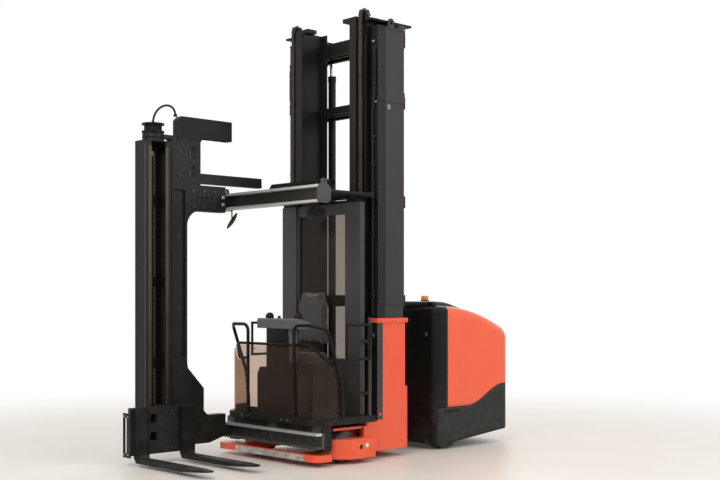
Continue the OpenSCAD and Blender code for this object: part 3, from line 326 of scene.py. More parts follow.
# a mesh in the making, in the truck's frame and in metres
class Shape:
    def __init__(self):
        self.bm = bmesh.new()

    def ring(self, points):
        return [self.bm.verts.new(p) for p in points]

    def skin(self, rings, closed=True, caps=True):
        count = len(rings[0])
        for a, b in zip(rings, rings[1:]):
            for i in range(count if closed else count - 1):
                j = (i + 1) % count
                self.bm.faces.new((a[i], a[j], b[j], b[i]))
        if caps:
            self.bm.faces.new(rings[0][::-1])
            self.bm.faces.new(rings[-1])

    def block(self, low, high, bevel=0.0, matrix=None):
        low, high = Vector(low), Vector(high)
        made = bmesh.ops.create_cube(self.bm, size=1)["verts"]
        size, middle = high - low, (low + high) / 2
        for v in made:
            v.co = Vector(a * b for a, b in zip(v.co, size)) + middle
            if matrix:
                v.co = matrix @ v.co
        if bevel:
            edges = list({e for v in made for e in v.link_edges})
            bmesh.ops.bevel(self.bm, geom=edges, offset=bevel, segments=2, profile=0.6, affect="EDGES")

    def tube(self, points, radius, sides=10, radii=None):
        points = [Vector(p) for p in points]
        side, rings = None, []
        for i, p in enumerate(points):
            along = (points[min(i + 1, len(points) - 1)] - points[max(i - 1, 0)]).normalized()
            if side is None:
                side = along.cross(Vector((0.31, 0.87, 0.39))).normalized()
            side = (side - along * side.dot(along)).normalized()
            up = along.cross(side)
            r = radii[i] if radii else radius
            rings.append(self.ring([p + (side * math.cos(a) + up * math.sin(a)) * r
                                    for a in (2 * math.pi * k / sides for k in range(sides))]))
        self.skin(rings)

    # outline is a list of (u, v); place maps (u, v, w) to a point; w runs from low to high
    def prism(self, outline, place, low, high, bevel=0.0):
        rings = [self.ring([place(u, v, w) for u, v in outline]) for w in (low, high)]
        self.skin(rings)
        if bevel:
            edges = list({e for r in rings for v in r for e in v.link_edges
                          if sum(w in r for w in e.verts) == 2})
            bmesh.ops.bevel(self.bm, geom=edges, offset=bevel, segments=2, profile=0.6, affect="EDGES")

    # profile of (radius, height) turned round an axis through centre
    def lathe(self, profile, centre, axis=(0, 0, 1), sides=28):
        turn = Vector((0, 0, 1)).rotation_difference(Vector(axis)).to_matrix()
        rings = []
        for radius, height in profile:
            r = max(radius, 0.0004)
            rings.append(self.ring([Vector(centre) + turn @ Vector((r * math.cos(a), r * math.sin(a), height))
                                    for a in (2 * math.pi * k / sides for k in range(sides))]))
        self.skin(rings)

    def piece(self, name, finish, body=None, slot=None, replaces=(), sharp=35, solid=0.0):
        bmesh.ops.remove_doubles(self.bm, verts=self.bm.verts, dist=0.00002)
        bmesh.ops.recalc_face_normals(self.bm, faces=self.bm.faces)
        mesh = bpy.data.meshes.new(name)
        self.bm.to_mesh(mesh)
        self.bm.free()
        mesh.shade_smooth()
        mesh.set_sharp_from_angle(angle=math.radians(sharp))
        mesh.materials.append(materials[finish])
        made = newObject(name, mesh)
        if solid:
            wall = made.modifiers.new("wall", "SOLIDIFY")
            wall.thickness, wall.offset, wall.use_even_offset = solid, -1, True
        if body:
            register(made, body, replaces)
        return made


def register(made, body, replaces=()):
    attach(made, body)
    if replaces:
        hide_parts(*replaces)


# node trees for what repeats
def newTree(name, inputs):
    tree = bpy.data.node_groups.new(name, "GeometryNodeTree")
    tree.interface.new_socket("Geometry", in_out="INPUT", socket_type="NodeSocketGeometry")
    for label, kind in inputs:
        tree.interface.new_socket(label, in_out="INPUT", socket_type="NodeSocket" + kind)
    tree.interface.new_socket("Geometry", in_out="OUTPUT", socket_type="NodeSocketGeometry")
    start = tree.nodes.new("NodeGroupInput")
    return tree, Wire(tree), {s.name: Wire(tree, s) for s in start.outputs if s.name}


def closeTree(wire, geometry, finish):
    real = wire.add("GeometryNodeRealizeInstances", {}, {0: geometry})
    dressed = wire.add("GeometryNodeSetMaterial", {}, {"Geometry": real, "Material": finish})
    wire.add("NodeGroupOutput", {}, {0: dressed})


# hex heads on washers, at each point and along its aim
def fastenerTree():
    tree, wire, given = newTree("fasteners", [
        ("Head Width", "Float"), ("Head Height", "Float"), ("Washer Width", "Float"), ("Sides", "Int"),
        ("Finish", "Material")])
    washerHeight = given["Head Height"] * 0.3

    def disc(sides, width, height, middle):
        solid = wire.add("GeometryNodeMeshCylinder", {}, {"Vertices": sides, "Radius": width * 0.5, "Depth": height})
        lift = wire.add("ShaderNodeCombineXYZ", {}, {"Z": middle})
        return wire.add("GeometryNodeTransform", {}, {"Geometry": solid, "Translation": lift})

    head = disc(given["Sides"], given["Head Width"], given["Head Height"], given["Head Height"] * 0.5 + washerHeight)
    washer = disc(18, given["Washer Width"], washerHeight, washerHeight * 0.5)
    whole = wire.add("GeometryNodeJoinGeometry", {}, {0: [washer, head]})
    aim = wire.add("GeometryNodeInputNamedAttribute", {"data_type": "FLOAT_VECTOR"}, {"Name": "aim"})
    turn = wire.add("FunctionNodeAlignRotationToVector", {"axis": "Z"}, {"Vector": aim})
    spread = wire.add("GeometryNodeInstanceOnPoints", {}, {
        "Points": given["Geometry"], "Instance": whole, "Rotation": turn})
    closeTree(wire, spread, given["Finish"])
    return tree


# a shape repeated along a curve, its Z along the curve and its Y along Side
def repeatTree():
    tree, wire, given = newTree("repeatAlong", [
        ("Spacing", "Float"), ("Side", "Vector"), ("Shape", "Object"), ("Finish", "Material")])
    line = wire.add("GeometryNodeResampleCurve", {"mode": "LENGTH"}, {
        "Curve": given["Geometry"], "Length": given["Spacing"]})
    shape = wire.add("GeometryNodeObjectInfo", {}, {"Object": given["Shape"], "As Instance": True}, out="Geometry")
    tangent = wire.add("GeometryNodeInputTangent")
    flat = wire.add("FunctionNodeAlignRotationToVector", {"axis": "Y"}, {"Vector": given["Side"]})
    turn = wire.add("FunctionNodeAlignRotationToVector", {"axis": "Z", "pivot_axis": "Y"}, {
        "Rotation": flat, "Vector": tangent})
    spread = wire.add("GeometryNodeInstanceOnPoints", {}, {"Points": line, "Instance": shape, "Rotation": turn})
    closeTree(wire, spread, given["Finish"])
    return tree


fasteners, repeatAlong = fastenerTree(), repeatTree()


# the evaluated mesh of an object with the tree on it, as an object of its own
def runTree(source, tree, values, name):
    modifier = source.modifiers.new("repeat", "NODES")
    modifier.node_group = tree
    for item in tree.interface.items_tree:
        if item.in_out == "INPUT" and item.name in values:
            modifier[item.identifier] = values[item.name]
    bpy.context.view_layer.update()
    graph = bpy.context.evaluated_depsgraph_get()
    mesh = bpy.data.meshes.new_from_object(source.evaluated_get(graph), depsgraph=graph)
    mesh.name = name
    bpy.data.objects.remove(source)
    return newObject(name, mesh)


# places is a list of (point, aim)
def bolts(name, body, finish, width, places, sides=6, height=None, washer=1.5):
    mesh = bpy.data.meshes.new(name)
    mesh.from_pydata([p for p, _ in places], [], [])
    aims = mesh.attributes.new("aim", "FLOAT_VECTOR", "POINT")
    for item, (_, aim) in zip(aims.data, places):
        item.vector = aim
    made = runTree(newObject(name + "Points", mesh), fasteners, {
        "Head Width": width, "Head Height": height or width * 0.5, "Washer Width": width * washer, "Sides": sides,
        "Finish": materials[finish]}, name)
    register(made, body)


def aimed(aim, points):
    return [(p, aim) for p in points]


def along(name, body, slot, finish, points, spacing, shape, side=(0, 1, 0), replaces=()):
    curve = bpy.data.curves.new(name, "CURVE")
    curve.dimensions = "3D"
    spline = curve.splines.new("POLY")
    spline.points.add(len(points) - 1)
    for item, p in zip(spline.points, points):
        item.co = (*p, 1)
    made = runTree(newObject(name + "Line", curve), repeatAlong, {
        "Spacing": spacing, "Side": side, "Shape": shape, "Finish": materials[finish]}, name)
    register(made, body, replaces)


def arc(centre, radius, start, end, count, place):
    return [place(centre[0] + radius * math.cos(a), centre[1] + radius * math.sin(a))
            for a in (math.radians(start + (end - start) * i / count) for i in range(count + 1))]


# power unit: panels cut from one smooth body
unit = {"x": (-2.07, -0.88), "half": 0.67, "corner": 0.12, "curve": (-0.94, -1.00, 2.50), "fillet": 0.05,
        "tail": 0.10, "axis": 0.90, "spine": (0.5, 0.25), "shroud": 0.17, "seam": 0.004, "wall": 0.012,
        "stations": 184, "weld": 0.0004,
        "wave": {"low": 0.44, "rise": 0.21, "start": -1.36, "run": 0.60},
        "foot": {"low": 0.06, "rise": 0.10, "start": -1.05, "run": 1.02},
        "bay": {"half": 0.16, "depth": 0.05, "top": 0.68},
        "vents": {"count": 5, "first": -0.16, "pitch": 0.045, "wide": 0.022, "z": (0.38, 0.41)},
        "label": {"y": 0.52, "half": 0.017, "z": (1.19, 1.225)},
        "button": {"x": -1.72, "y": 0.24, "lean": (-0.42, 0, 0.9)}}
dome = {"length": 0.557, "gap": 0.008, "half": 0.618, "rows": 40, "columns": 48, "rise": 0.058, "rim": 0.045,
        "sink": 0.004, "taper": (-0.02, 0.36), "top": 1.556, "wall": 0.006}


def smoothStep(value, low, high):
    t = min(1, max(0, (value - low) / (high - low)))
    return t * t * (3 - 2 * t)


def unitDistance(x, y, z):
    back, front = unit["x"]
    qx = abs(x - (back + front) / 2) - (front - back) / 2 + unit["corner"]
    qy = abs(y) - unit["half"] + unit["corner"]
    plan = math.hypot(max(qx, 0), max(qy, 0)) + min(max(qx, qy), 0) - unit["corner"]
    cx, cz, r = unit["curve"]
    top = math.hypot(x - cx, z - cz) - r
    fillet = unit["fillet"] + (unit["tail"] - unit["fillet"]) * (1 - smoothStep(x, back + 0.05, back + 0.8))
    a, b = plan + fillet, top + fillet
    return math.hypot(max(a, 0), max(b, 0)) + min(max(a, b), 0) - fillet


# where a ray from inside leaves the body
def hit(origin, direction):
    low, high = 0.0, 3.0
    for _ in range(30):
        middle = (low + high) / 2
        if unitDistance(*(origin + direction * middle)) > 0:
            high = middle
        else:
            low = middle
    return origin + direction * low


def backwards(line, x):
    return min(1, max(0, (line["start"] - x) / line["run"]))


def waveLine(x):
    wave = unit["wave"]
    return wave["low"] + wave["rise"] * (1 - math.cos(math.pi * backwards(wave, x))) / 2


def skirtFoot(x):
    return unit["foot"]["low"] + unit["foot"]["rise"] * backwards(unit["foot"], x)


def hoodTop(x):
    cx, cz, r = unit["curve"]
    return cz + math.sqrt(r ** 2 - (x - cx) ** 2)


# a point on the plan outline, by the way round from the front middle
def planPoint(t):
    back, front = unit["x"]
    c, half = unit["corner"], unit["half"]
    long, wide = front - back - 2 * c, 2 * half - 2 * c
    bend = math.pi * c / 2
    runs = [("line", (front, 0), (0, 1), wide / 2), ("arc", (front - c, half - c), 0, bend),
            ("line", (front - c, half), (-1, 0), long), ("arc", (back + c, half - c), 90, bend),
            ("line", (back, half - c), (0, -1), wide), ("arc", (back + c, -half + c), 180, bend),
            ("line", (back + c, -half), (1, 0), long), ("arc", (front - c, -half + c), 270, bend),
            ("line", (front, -half + c), (0, 1), wide / 2)]
    way = t * sum(run[3] for run in runs)
    for kind, place, heading, length in runs:
        if way <= length:
            if kind == "line":
                return place[0] + heading[0] * way, place[1] + heading[1] * way
            a = math.radians(heading + 90 * way / length)
            return place[0] + c * math.cos(a), place[1] + c * math.sin(a)
        way -= length
    return front, 0.0


def unitShell(lowLine, highLine=None, sideRows=14, topRows=64):
    shape = Shape()
    back, front = unit["x"]
    columns = []
    for i in range(unit["stations"]):
        x, y = planPoint(i / unit["stations"])
        spine = min(max(x, back + unit["spine"][0]), front - unit["spine"][1])
        low, high = lowLine(x), highLine(x) if highLine else unit["axis"]
        column = []
        for k in range(sideRows + 1):
            z = low + (high - low) * k / sideRows
            origin = Vector((spine, 0, z))
            column.append(hit(origin, (Vector((x, y, z)) - origin).normalized()))
        if not highLine:
            origin = Vector((spine, 0, unit["axis"]))
            flat = (Vector((x, y, unit["axis"])) - origin).normalized()
            for k in range(1, topRows + 1):
                a = math.radians(90 * k / topRows)
                column.append(hit(origin, (flat * math.cos(a) + Vector((0, 0, math.sin(a)))).normalized()))
        columns.append(shape.ring(column))
    for a, b in zip(columns, columns[1:] + columns[:1]):
        for k in range(len(a) - 1):
            shape.bm.faces.new((a[k], b[k], b[k + 1], a[k + 1]))
    bmesh.ops.remove_doubles(shape.bm, verts=shape.bm.verts, dist=unit["weld"])
    return shape


def cutPlane(shape, point, normal, clear=True):
    whole = list(shape.bm.verts) + list(shape.bm.edges) + list(shape.bm.faces)
    bmesh.ops.bisect_plane(shape.bm, geom=whole, plane_co=point, plane_no=normal, clear_outer=clear)


def cutHole(shape, low, high):
    for axis in range(3):
        normal = [float(k == axis) for k in range(3)]
        for edge in (low, high):
            cutPlane(shape, [edge[axis] * share for share in normal], normal, clear=False)
    inside = [f for f in shape.bm.faces
              if all(low[k] - 1e-5 < f.calc_center_median()[k] < high[k] + 1e-5 for k in range(3))]
    bmesh.ops.delete(shape.bm, geom=inside, context="FACES")


def unitPanels():
    front, half = unit["x"][1], unit["half"]
    seam, split = unit["seam"] / 2, front - unit["shroud"]
    lap = front - 0.042  # the skirt's ends lie over the shroud
    hood = unitShell(lambda x: waveLine(x) + seam)
    cutPlane(hood, (split - seam, 0, 0), (1, 0, 0))
    hood.piece("hoodPanel", "orangePaint", "power_unit", "orange_paint", ["hood"], sharp=50, solid=unit["wall"])
    shroud = unitShell(lambda x: unit["foot"]["low"], sideRows=24)
    cutPlane(shroud, (split + seam, 0, 0), (-1, 0, 0))
    bay = unit["bay"]
    cutHole(shroud, (front - bay["depth"], -bay["half"], 0), (front + 0.01, bay["half"], bay["top"]))
    for side in (1, -1):
        low, high = sorted((side * (half - unit["corner"] + 0.001), side * (half + 0.01)))
        cutHole(shroud, (split - 0.01, low, 0), (lap, high, unit["wave"]["low"] + seam))
    shroud.piece("shroudPanel", "blackPlastic", "power_unit", "black_plastic", ["front_shroud"], sharp=50,
                 solid=unit["wall"])
    skirt = unitShell(skirtFoot, lambda x: waveLine(x) - seam, sideRows=10)
    cutPlane(skirt, (lap, 0, 0), (1, 0, 0))
    centres = {f: f.calc_center_median() for f in skirt.bm.faces}
    inFront = [f for f, c in centres.items() if c.x > split and abs(c.y) < half - unit["corner"]]
    bmesh.ops.delete(skirt.bm, geom=inFront, context="FACES")
    vents = unit["vents"]
    for side in (1, -1):
        for i in range(vents["count"]):
            x = split + vents["first"] + i * vents["pitch"]
            low, high = sorted((side * 0.6, side * 0.7))
            cutHole(skirt, (x, low, vents["z"][0]), (x + vents["wide"], high, vents["z"][1]))
    skirt.piece("skirtPanel", "skirtPlastic", "power_unit", "charcoal_plastic", ["skirt"], sharp=50,
                solid=unit["wall"])


# domed top cover that thins out towards the back
def domedCover():
    cover = Shape()
    high = unit["x"][1] - dome["gap"]
    low = high - dome["length"]
    grid = []
    for i in range(dome["rows"] + 1):
        line = []
        for k in range(dome["columns"] + 1):
            u, v = i / dome["rows"] * 2 - 1, k / dome["columns"] * 2 - 1
            bend = (1 - 0.5 * (abs(u) ** 6 * abs(v) ** 6)) ** 0.5  # rounds the corners
            x = (low + high) / 2 + u * bend * (high - low) / 2
            rim = (1 - max(abs(u), abs(v))) * min(high - low, 2 * dome["half"]) / 2
            rise = dome["rise"] * math.sqrt(max(0, 1 - (1 - min(1, rim / dome["rim"])) ** 2))
            rise *= smoothStep(x, low + dome["taper"][0], low + dome["taper"][1])
            line.append((x, v * bend * dome["half"], min(dome["top"], hoodTop(x) - dome["sink"] + rise)))
        grid.append(cover.ring(line))
    for a, b in zip(grid, grid[1:]):
        for k in range(dome["columns"]):
            cover.bm.faces.new((a[k], b[k], b[k + 1], a[k + 1]))
    cover.piece("domedCover", "charcoalPlastic", "power_unit", "charcoal_plastic", ["top_cover"], sharp=60,
                solid=dome["wall"])


# trim line round the foot of the top cover, a small dark button, bare labels
def unitTrim():
    front = unit["x"][1]
    side = [(0.05, 0.615), (0.30, 0.615), (0.52, 0.60), (0.575, 0.53)]
    outline = [(x, -y) for x, y in side] + [(0.578, 0.0)] + side[::-1]
    trim = Shape()
    trim.tube([Vector((front - x, y, hoodTop(front - x) + 0.004)) for x, y in outline], 0.004, sides=6)
    trim.piece("coverTrim", "stripSteel", "power_unit", "silver")
    spot = unit["button"]
    button = Shape()
    button.lathe([(0, -0.002), (0.016, -0.002), (0.016, 0.007), (0.012, 0.010), (0, 0.0105)],
                 (spot["x"], spot["y"], hoodTop(spot["x"])), spot["lean"], sides=24)
    button.piece("hoodButton", "blackPlastic", "power_unit", "black_plastic")
    label = unit["label"]
    plate = Shape()
    for side in (1, -1):
        plate.block((front - 0.001, side * label["y"] - label["half"], label["z"][0]),
                    (front + 0.0012, side * label["y"] + label["half"], label["z"][1]), 0.0004)
    plate.piece("bareLabel", "greyPlastic", "power_unit", "grey_plastic")


unitPanels()
domedCover()
unitTrim()
print("power unit done")

# warning lamp with a ribbed lens
lamp = {"place": (-1.14, 0.25, 1.555), "ribs": 24, "rib": 0.0012, "radius": 0.038, "seat": 0.0141,
        "foot": [(0, 0), (0.045, 0), (0.045, 0.008), (0.041, 0.014), (0, 0.014)],
        "lens": [(0.0, 1.0), (0.03, 1.0), (0.036, 0.985), (0.042, 0.9), (0.0455, 0.72), (0.046, 0.3), (0.046, 0.02)]}


def beaconLamp():
    base = Shape()
    base.lathe(lamp["foot"], lamp["place"])
    base.piece("lampBase", "blackPlastic", "power_unit", "black_plastic", ["beacon"])
    lens = Shape()
    sides = lamp["ribs"] * 4
    x, y, z = lamp["place"]
    rings = []
    for height, share in lamp["lens"]:
        ring = []
        for k in range(sides):
            a = 2 * math.pi * k / sides
            r = lamp["radius"] * share + (lamp["rib"] * math.cos(lamp["ribs"] * a) if share > 0.6 else 0)
            ring.append((x + r * math.cos(a), y + r * math.sin(a), z + lamp["seat"] + height))
        rings.append(lens.ring(ring))
    lens.skin(rings)
    lens.piece("lampLens", "amberLens", "power_unit", "amber", ["beacon"])


beaconLamp()

# lift chains: leaf links between pins, over the pulleys of the middle stage
chain = {"x": 0.018, "z": 4.407, "radius": 0.0533, "y": 0.5195, "foot": 0.322, "back": 4.374, "pitch": 0.019,
         "height": 0.0165, "plate": 0.0042, "plates": 9, "gap": 0.0005, "pin": 0.0035,
         "clevis": (0.011, 0.024, 0.3205, 0.352)}


def chainCell():
    cell = Shape()
    half, pitch = chain["height"] / 2, chain["pitch"]
    for k in range(chain["plates"]):
        y = (k - (chain["plates"] - 1) / 2) * (chain["plate"] + chain["gap"])
        z0 = 0 if k % 2 else pitch
        outline = []
        for end, sign in ((z0 + pitch, 1), (z0, -1)):
            for a in (-60, -20, 20, 60) if sign == 1 else (120, 160, 200, 240):
                rad = math.radians(a)
                outline.append((half * math.sin(rad), end + half * math.cos(rad)))
        cell.prism(outline, lambda u, v, w: (u, w, v), y - chain["plate"] / 2, y + chain["plate"] / 2)
    wide = chain["plates"] / 2 * (chain["plate"] + chain["gap"])
    for z in (0, pitch):
        cell.tube([(0, -wide, z), (0, wide, z)], chain["pin"], sides=6)
    return cell.piece("chainCell", "chainSteel", sharp=30)


def liftChains():
    cell = chainCell()
    ends = Shape()  # clevis blocks at the lower anchors
    deep, wide, low, high = chain["clevis"]
    for side in (1, -1):
        y, x = side * chain["y"], chain["x"] + chain["radius"]
        line = [(x, y, chain["foot"])]
        line += arc((chain["x"], chain["z"]), chain["radius"], 0, 180, 18, lambda u, v: (u, y, v))
        line.append((chain["x"] - chain["radius"], y, chain["back"]))
        along("leafChain" + ("Left" if side > 0 else "Right"), "mast_middle", "chain_steel", "chainSteel", line,
              chain["pitch"] * 2, cell, replaces=["lift_chains"])
        ends.block((x - deep, y - wide, low), (x + deep, y + wide, high), 0.003)
    bpy.data.objects.remove(cell)
    ends.piece("chainEnds", "chainSteel", "mast_middle", "chain_steel")


liftChains()
print("lift chains done")

# seat: padded cushions with piping and stitched channels
seat = {"cushion": ((0.204, -0.222, 0.934), (0.552, 0.222, 1.040)), "channels": (0.30, 0.40),
        "back": ((0.190, -0.212, 1.108), (0.282, 0.212, 1.672)), "backChannels": (1.27, 1.42, 1.56), "stitch": 0.006,
        "voxel": 0.006, "quickVoxel": 0.012, "pressure": 4.0, "stiffness": 40, "frames": 20, "cap": 0.024,
        "piping": 0.0045}


def bake(made):
    graph = bpy.context.evaluated_depsgraph_get()
    mesh = bpy.data.meshes.new_from_object(made.evaluated_get(graph), depsgraph=graph)
    old = made.data
    made.modifiers.clear()
    made.data = mesh
    bpy.data.meshes.remove(old)


# blown up as cloth, but no point moves further than the cap
def inflate(made):
    rest = [v.co.copy() for v in made.data.vertices]
    cloth = made.modifiers.new("cloth", "CLOTH")
    cloth.settings.use_pressure = True
    cloth.settings.uniform_pressure_force = seat["pressure"]
    cloth.settings.effector_weights.gravity = 0
    cloth.settings.tension_stiffness = cloth.settings.compression_stiffness = seat["stiffness"]
    cloth.settings.quality = 5
    cloth.point_cache.frame_start, cloth.point_cache.frame_end = 1, seat["frames"]
    for step in range(1, seat["frames"] + 1):
        bpy.context.scene.frame_set(step)
    bake(made)
    bpy.context.scene.frame_set(1)
    for v, old in zip(made.data.vertices, rest):
        move = v.co - old
        if move.length > seat["cap"]:
            v.co = old + move * (seat["cap"] / move.length)


def pad(name, low, high, shapePoint, node):
    low, high = Vector(low), Vector(high)
    middle, size = (low + high) / 2, high - low
    start = Shape()
    start.block(low + size * 0.03, high - size * 0.03, min(size) * 0.3)
    bmesh.ops.subdivide_edges(start.bm, edges=start.bm.edges, cuts=2, use_grid_fill=True)
    made = start.piece(name, "seatFabric", sharp=180)
    remesh = made.modifiers.new("remesh", "REMESH")
    remesh.mode, remesh.voxel_size = "VOXEL", seat["voxel"]
    bake(made)
    for v in made.data.vertices:
        v.co = shapePoint(v.co, middle, size)
    inflate(made)
    # back inside its room in the frame
    for v in made.data.vertices:
        v.co = Vector(min(max(c, a), b) for c, a, b in zip(v.co, low - size * 0.02, high + size * 0.02))
    smooth = made.modifiers.new("smooth", "SMOOTH")
    smooth.factor, smooth.iterations = 0.5, 3
    bake(made)
    finer = made.modifiers.new("finer", "SUBSURF")
    finer.levels = finer.render_levels = 1
    bake(made)
    made.data.shade_smooth()
    register(made, "cab", [node])


# how far the stitched lines pull in at this spot
def stitches(spot, spots):
    return seat["stitch"] * sum(math.exp(-((spot - at) / seat["stitch"]) ** 2) for at in spots)


def cushionShape(p, middle, size):
    u, v = (p.x - middle.x) / (size.x / 2), (p.y - middle.y) / (size.y / 2)
    top = 1 if p.z > middle.z else 0
    channel = stitches(p.x, seat["channels"]) * (1 if abs(v) < 0.62 else 0)
    bolster = 0.012 * smoothStep(abs(v), 0.55, 0.9)
    return Vector((p.x, p.y * (1 - 0.04 * u * u), p.z + top * (bolster - channel - 0.010 * u * u)))


def backShape(p, middle, size):
    w, v = (p.z - middle.z) / (size.z / 2), (p.y - middle.y) / (size.y / 2)
    narrow = 1 - 0.28 * smoothStep(w, 0.35, 1.0)
    front = 1 if p.x > middle.x else 0
    channel = stitches(p.z, seat["backChannels"]) * (1 if abs(v) < 0.6 else 0)
    bolster = 0.014 * smoothStep(abs(v), 0.5, 0.9)
    return Vector((p.x + front * (bolster - channel - 0.016 * max(0, w) ** 2), p.y * narrow, p.z))


def roundLoop(low, high, r, place, steps=6):
    (u0, v0), (u1, v1) = low, high
    points = []
    for cu, cv, start in ((u1 - r, v1 - r, 0), (u0 + r, v1 - r, 90), (u0 + r, v0 + r, 180), (u1 - r, v0 + r, 270)):
        points += arc((cu, cv), r, start, start + 90, steps, place)
    return points + points[:1]


pad("seatCushion", *seat["cushion"], cushionShape, "seat_cushion")
pad("seatBack", *seat["back"], backShape, "seat_back")
piping = Shape()
piping.tube(roundLoop((0.206, -0.220), (0.550, 0.220), 0.05, lambda u, v: (u, v, 1.004)), seat["piping"], sides=8)
piping.piece("cushionPiping", "seatPiping", "cab", "seat_fabric")
print("seat done")

# cab floor: mat with ribs, and two pedals of (y, width)
floorSet = {"mat": ((0.40, -0.66, 0.4404), (0.74, 0.66, 0.4445)), "ribs": (0.41, 0.595, 0.446), "pitch": 0.0122,
            "ribHalf": 0.64, "pedals": ((-0.12, 0.09), (0.12, 0.12)), "tilt": -22}


def floorMat():
    mat = Shape()
    mat.block(*floorSet["mat"], 0.001)
    mat.piece("floorMat", "floorMat", "cab", "black_plastic")
    rib = Shape()
    rib.block((-0.0015, -floorSet["ribHalf"], -0.0015), (0.0015, floorSet["ribHalf"], 0.0015), 0.0006)
    ribShape = rib.piece("matRib", "floorMat")
    back, front, z = floorSet["ribs"]
    along("matRibs", "cab", "black_plastic", "floorMat", [(back, 0, z), (front, 0, z)], floorSet["pitch"], ribShape)
    bpy.data.objects.remove(ribShape)
    pedals = Shape()
    for y, wide in floorSet["pedals"]:
        tilt = Matrix.Translation((0.52, y, 0.475)) @ Matrix.Rotation(math.radians(floorSet["tilt"]), 4, "Y")
        pedals.block((-0.055, -wide / 2, -0.006), (0.055, wide / 2, 0.006), 0.004, tilt)
        pedals.block((0.53, y - 0.012, 0.44), (0.56, y + 0.012, 0.485), 0.003)
    pedals.piece("pedals", "floorMat", "cab", "black_plastic")


floorMat()

# console: controls of (y, lean), their domes and bellows, the keys, the dark body under the light top
console = {"controls": ((0.25, 0.0), (-0.20, 0.35)), "x": 0.65, "domeZ": 1.388, "bellowsZ": 1.384, "folds": 5,
           "dome": [(0, 0), (0.040, 0), (0.043, 0.006), (0.043, 0.014), (0.0405, 0.028), (0.034, 0.042),
                    (0.023, 0.053), (0.011, 0.0585), (0, 0.060)],
           "fascia": ((0.752, -0.735, 0.3205), (0.774, 0.735, 0.3798)), "keys": (0.655, 0.03, 1.373), "slope": -13,
           "body": [(-0.292, 0.440), (0.332, 0.440), (0.332, 0.832), (0.292, 0.902), (-0.252, 0.902),
                    (-0.292, 0.832)],
           "neck": [(-0.162, 0.90), (0.202, 0.90), (0.19, 1.289), (-0.15, 1.289)]}


def consoleTrim():
    knobs = Shape()
    for y, lean in console["controls"]:
        knobs.lathe(console["dome"], (console["x"], y, console["domeZ"]), (-lean, 0, 1), sides=40)
    knobs.piece("domedKnobs", "blackPlastic", "cab", "black_plastic", ["control_pods"])
    fascia = Shape()
    fascia.block(*console["fascia"], 0.002)
    fascia.piece("floorFascia", "blackPaint", "cab", "black_paint")
    profile = [(0, 0)]
    for k in range(console["folds"]):
        profile += [(0.036 - 0.002 * k, 0.004 + 0.009 * k), (0.030 - 0.002 * k, 0.0085 + 0.009 * k)]
    profile += [(0.024, 0.05), (0, 0.05)]
    bellows = Shape()
    for y, lean in console["controls"]:
        bellows.lathe(profile, (console["x"], y, console["bellowsZ"]), sides=32)
    bellows.piece("controlBellows", "hoseRubber", "cab", "black_plastic")
    keys = Shape()
    slope = Matrix.Translation(console["keys"]) @ Matrix.Rotation(math.radians(console["slope"]), 4, "Y")
    keys.block((-0.06, -0.10, -0.001), (0.06, 0.10, 0.004), 0.002, slope)
    for i in range(4):
        for k in range(2):
            x, y = -0.045 + 0.05 * k, -0.08 + 0.045 * i
            keys.block((x, y, 0.003), (x + 0.03, y + 0.025, 0.008), 0.0015, slope)
    keys.piece("keyPanel", "blackPlastic", "cab", "black_plastic")
    under = Shape()
    under.prism(console["body"], lambda u, v, w: (w, u, v), 0.598, 0.732, 0.004)
    under.prism(console["neck"], lambda u, v, w: (w, u, v), 0.618, 0.722, 0.01)
    under.piece("consoleBody", "blackPlastic", "cab", "black_plastic")


consoleTrim()

# screws of the screen, bolts of the floor edge and of the lower beam
cab = {"front": 0.818, "half": 0.75, "inset": 0.0415, "lowRow": 0.475, "highRow": 1.085, "sideRow": 0.93,
       "edgeBolts": (-0.43, -0.33, 0.19, 0.29), "beamBolts": (10, 0.62, 0.138)}


def cabFasteners():
    front, half, low = cab["front"] - cab["inset"], cab["half"] - cab["inset"], cab["lowRow"]
    screen = aimed((1, 0, 0), [(front, -0.56 + 0.14 * i, low) for i in range(9)])
    for side in (1, -1):
        rows = ((0.55, low), (0.63, low), (0.60, cab["sideRow"]))
        screen += aimed((0, side, 0), [(x, side * half, z) for x, z in rows])
        screen += aimed((1, 0, 0), [(front, side * y, cab["highRow"]) for y in (0.52, 0.28)])
    bolts("screenScrews", "cab", "darkBolt", 0.011, screen, sides=16, height=0.004)
    edge = aimed((1, 0, 0), [(cab["front"], y, 0.412) for y in cab["edgeBolts"]])
    bolts("floorBolts", "cab", "boltSteel", 0.009, edge, height=0.004)
    count, start, pitch = cab["beamBolts"]
    beam = aimed((1, 0, 0), [(0.7785, pitch * i - start, 0.245) for i in range(count)])
    bolts("beamBolts", "cab", "darkBolt", 0.02, beam)
    ends = aimed((1, 0, 0), [(0.8481, side * 0.73, 0.3075) for side in (1, -1)])
    bolts("beamEndBolts", "cab", "boltSteel", 0.012, ends)


cabFasteners()

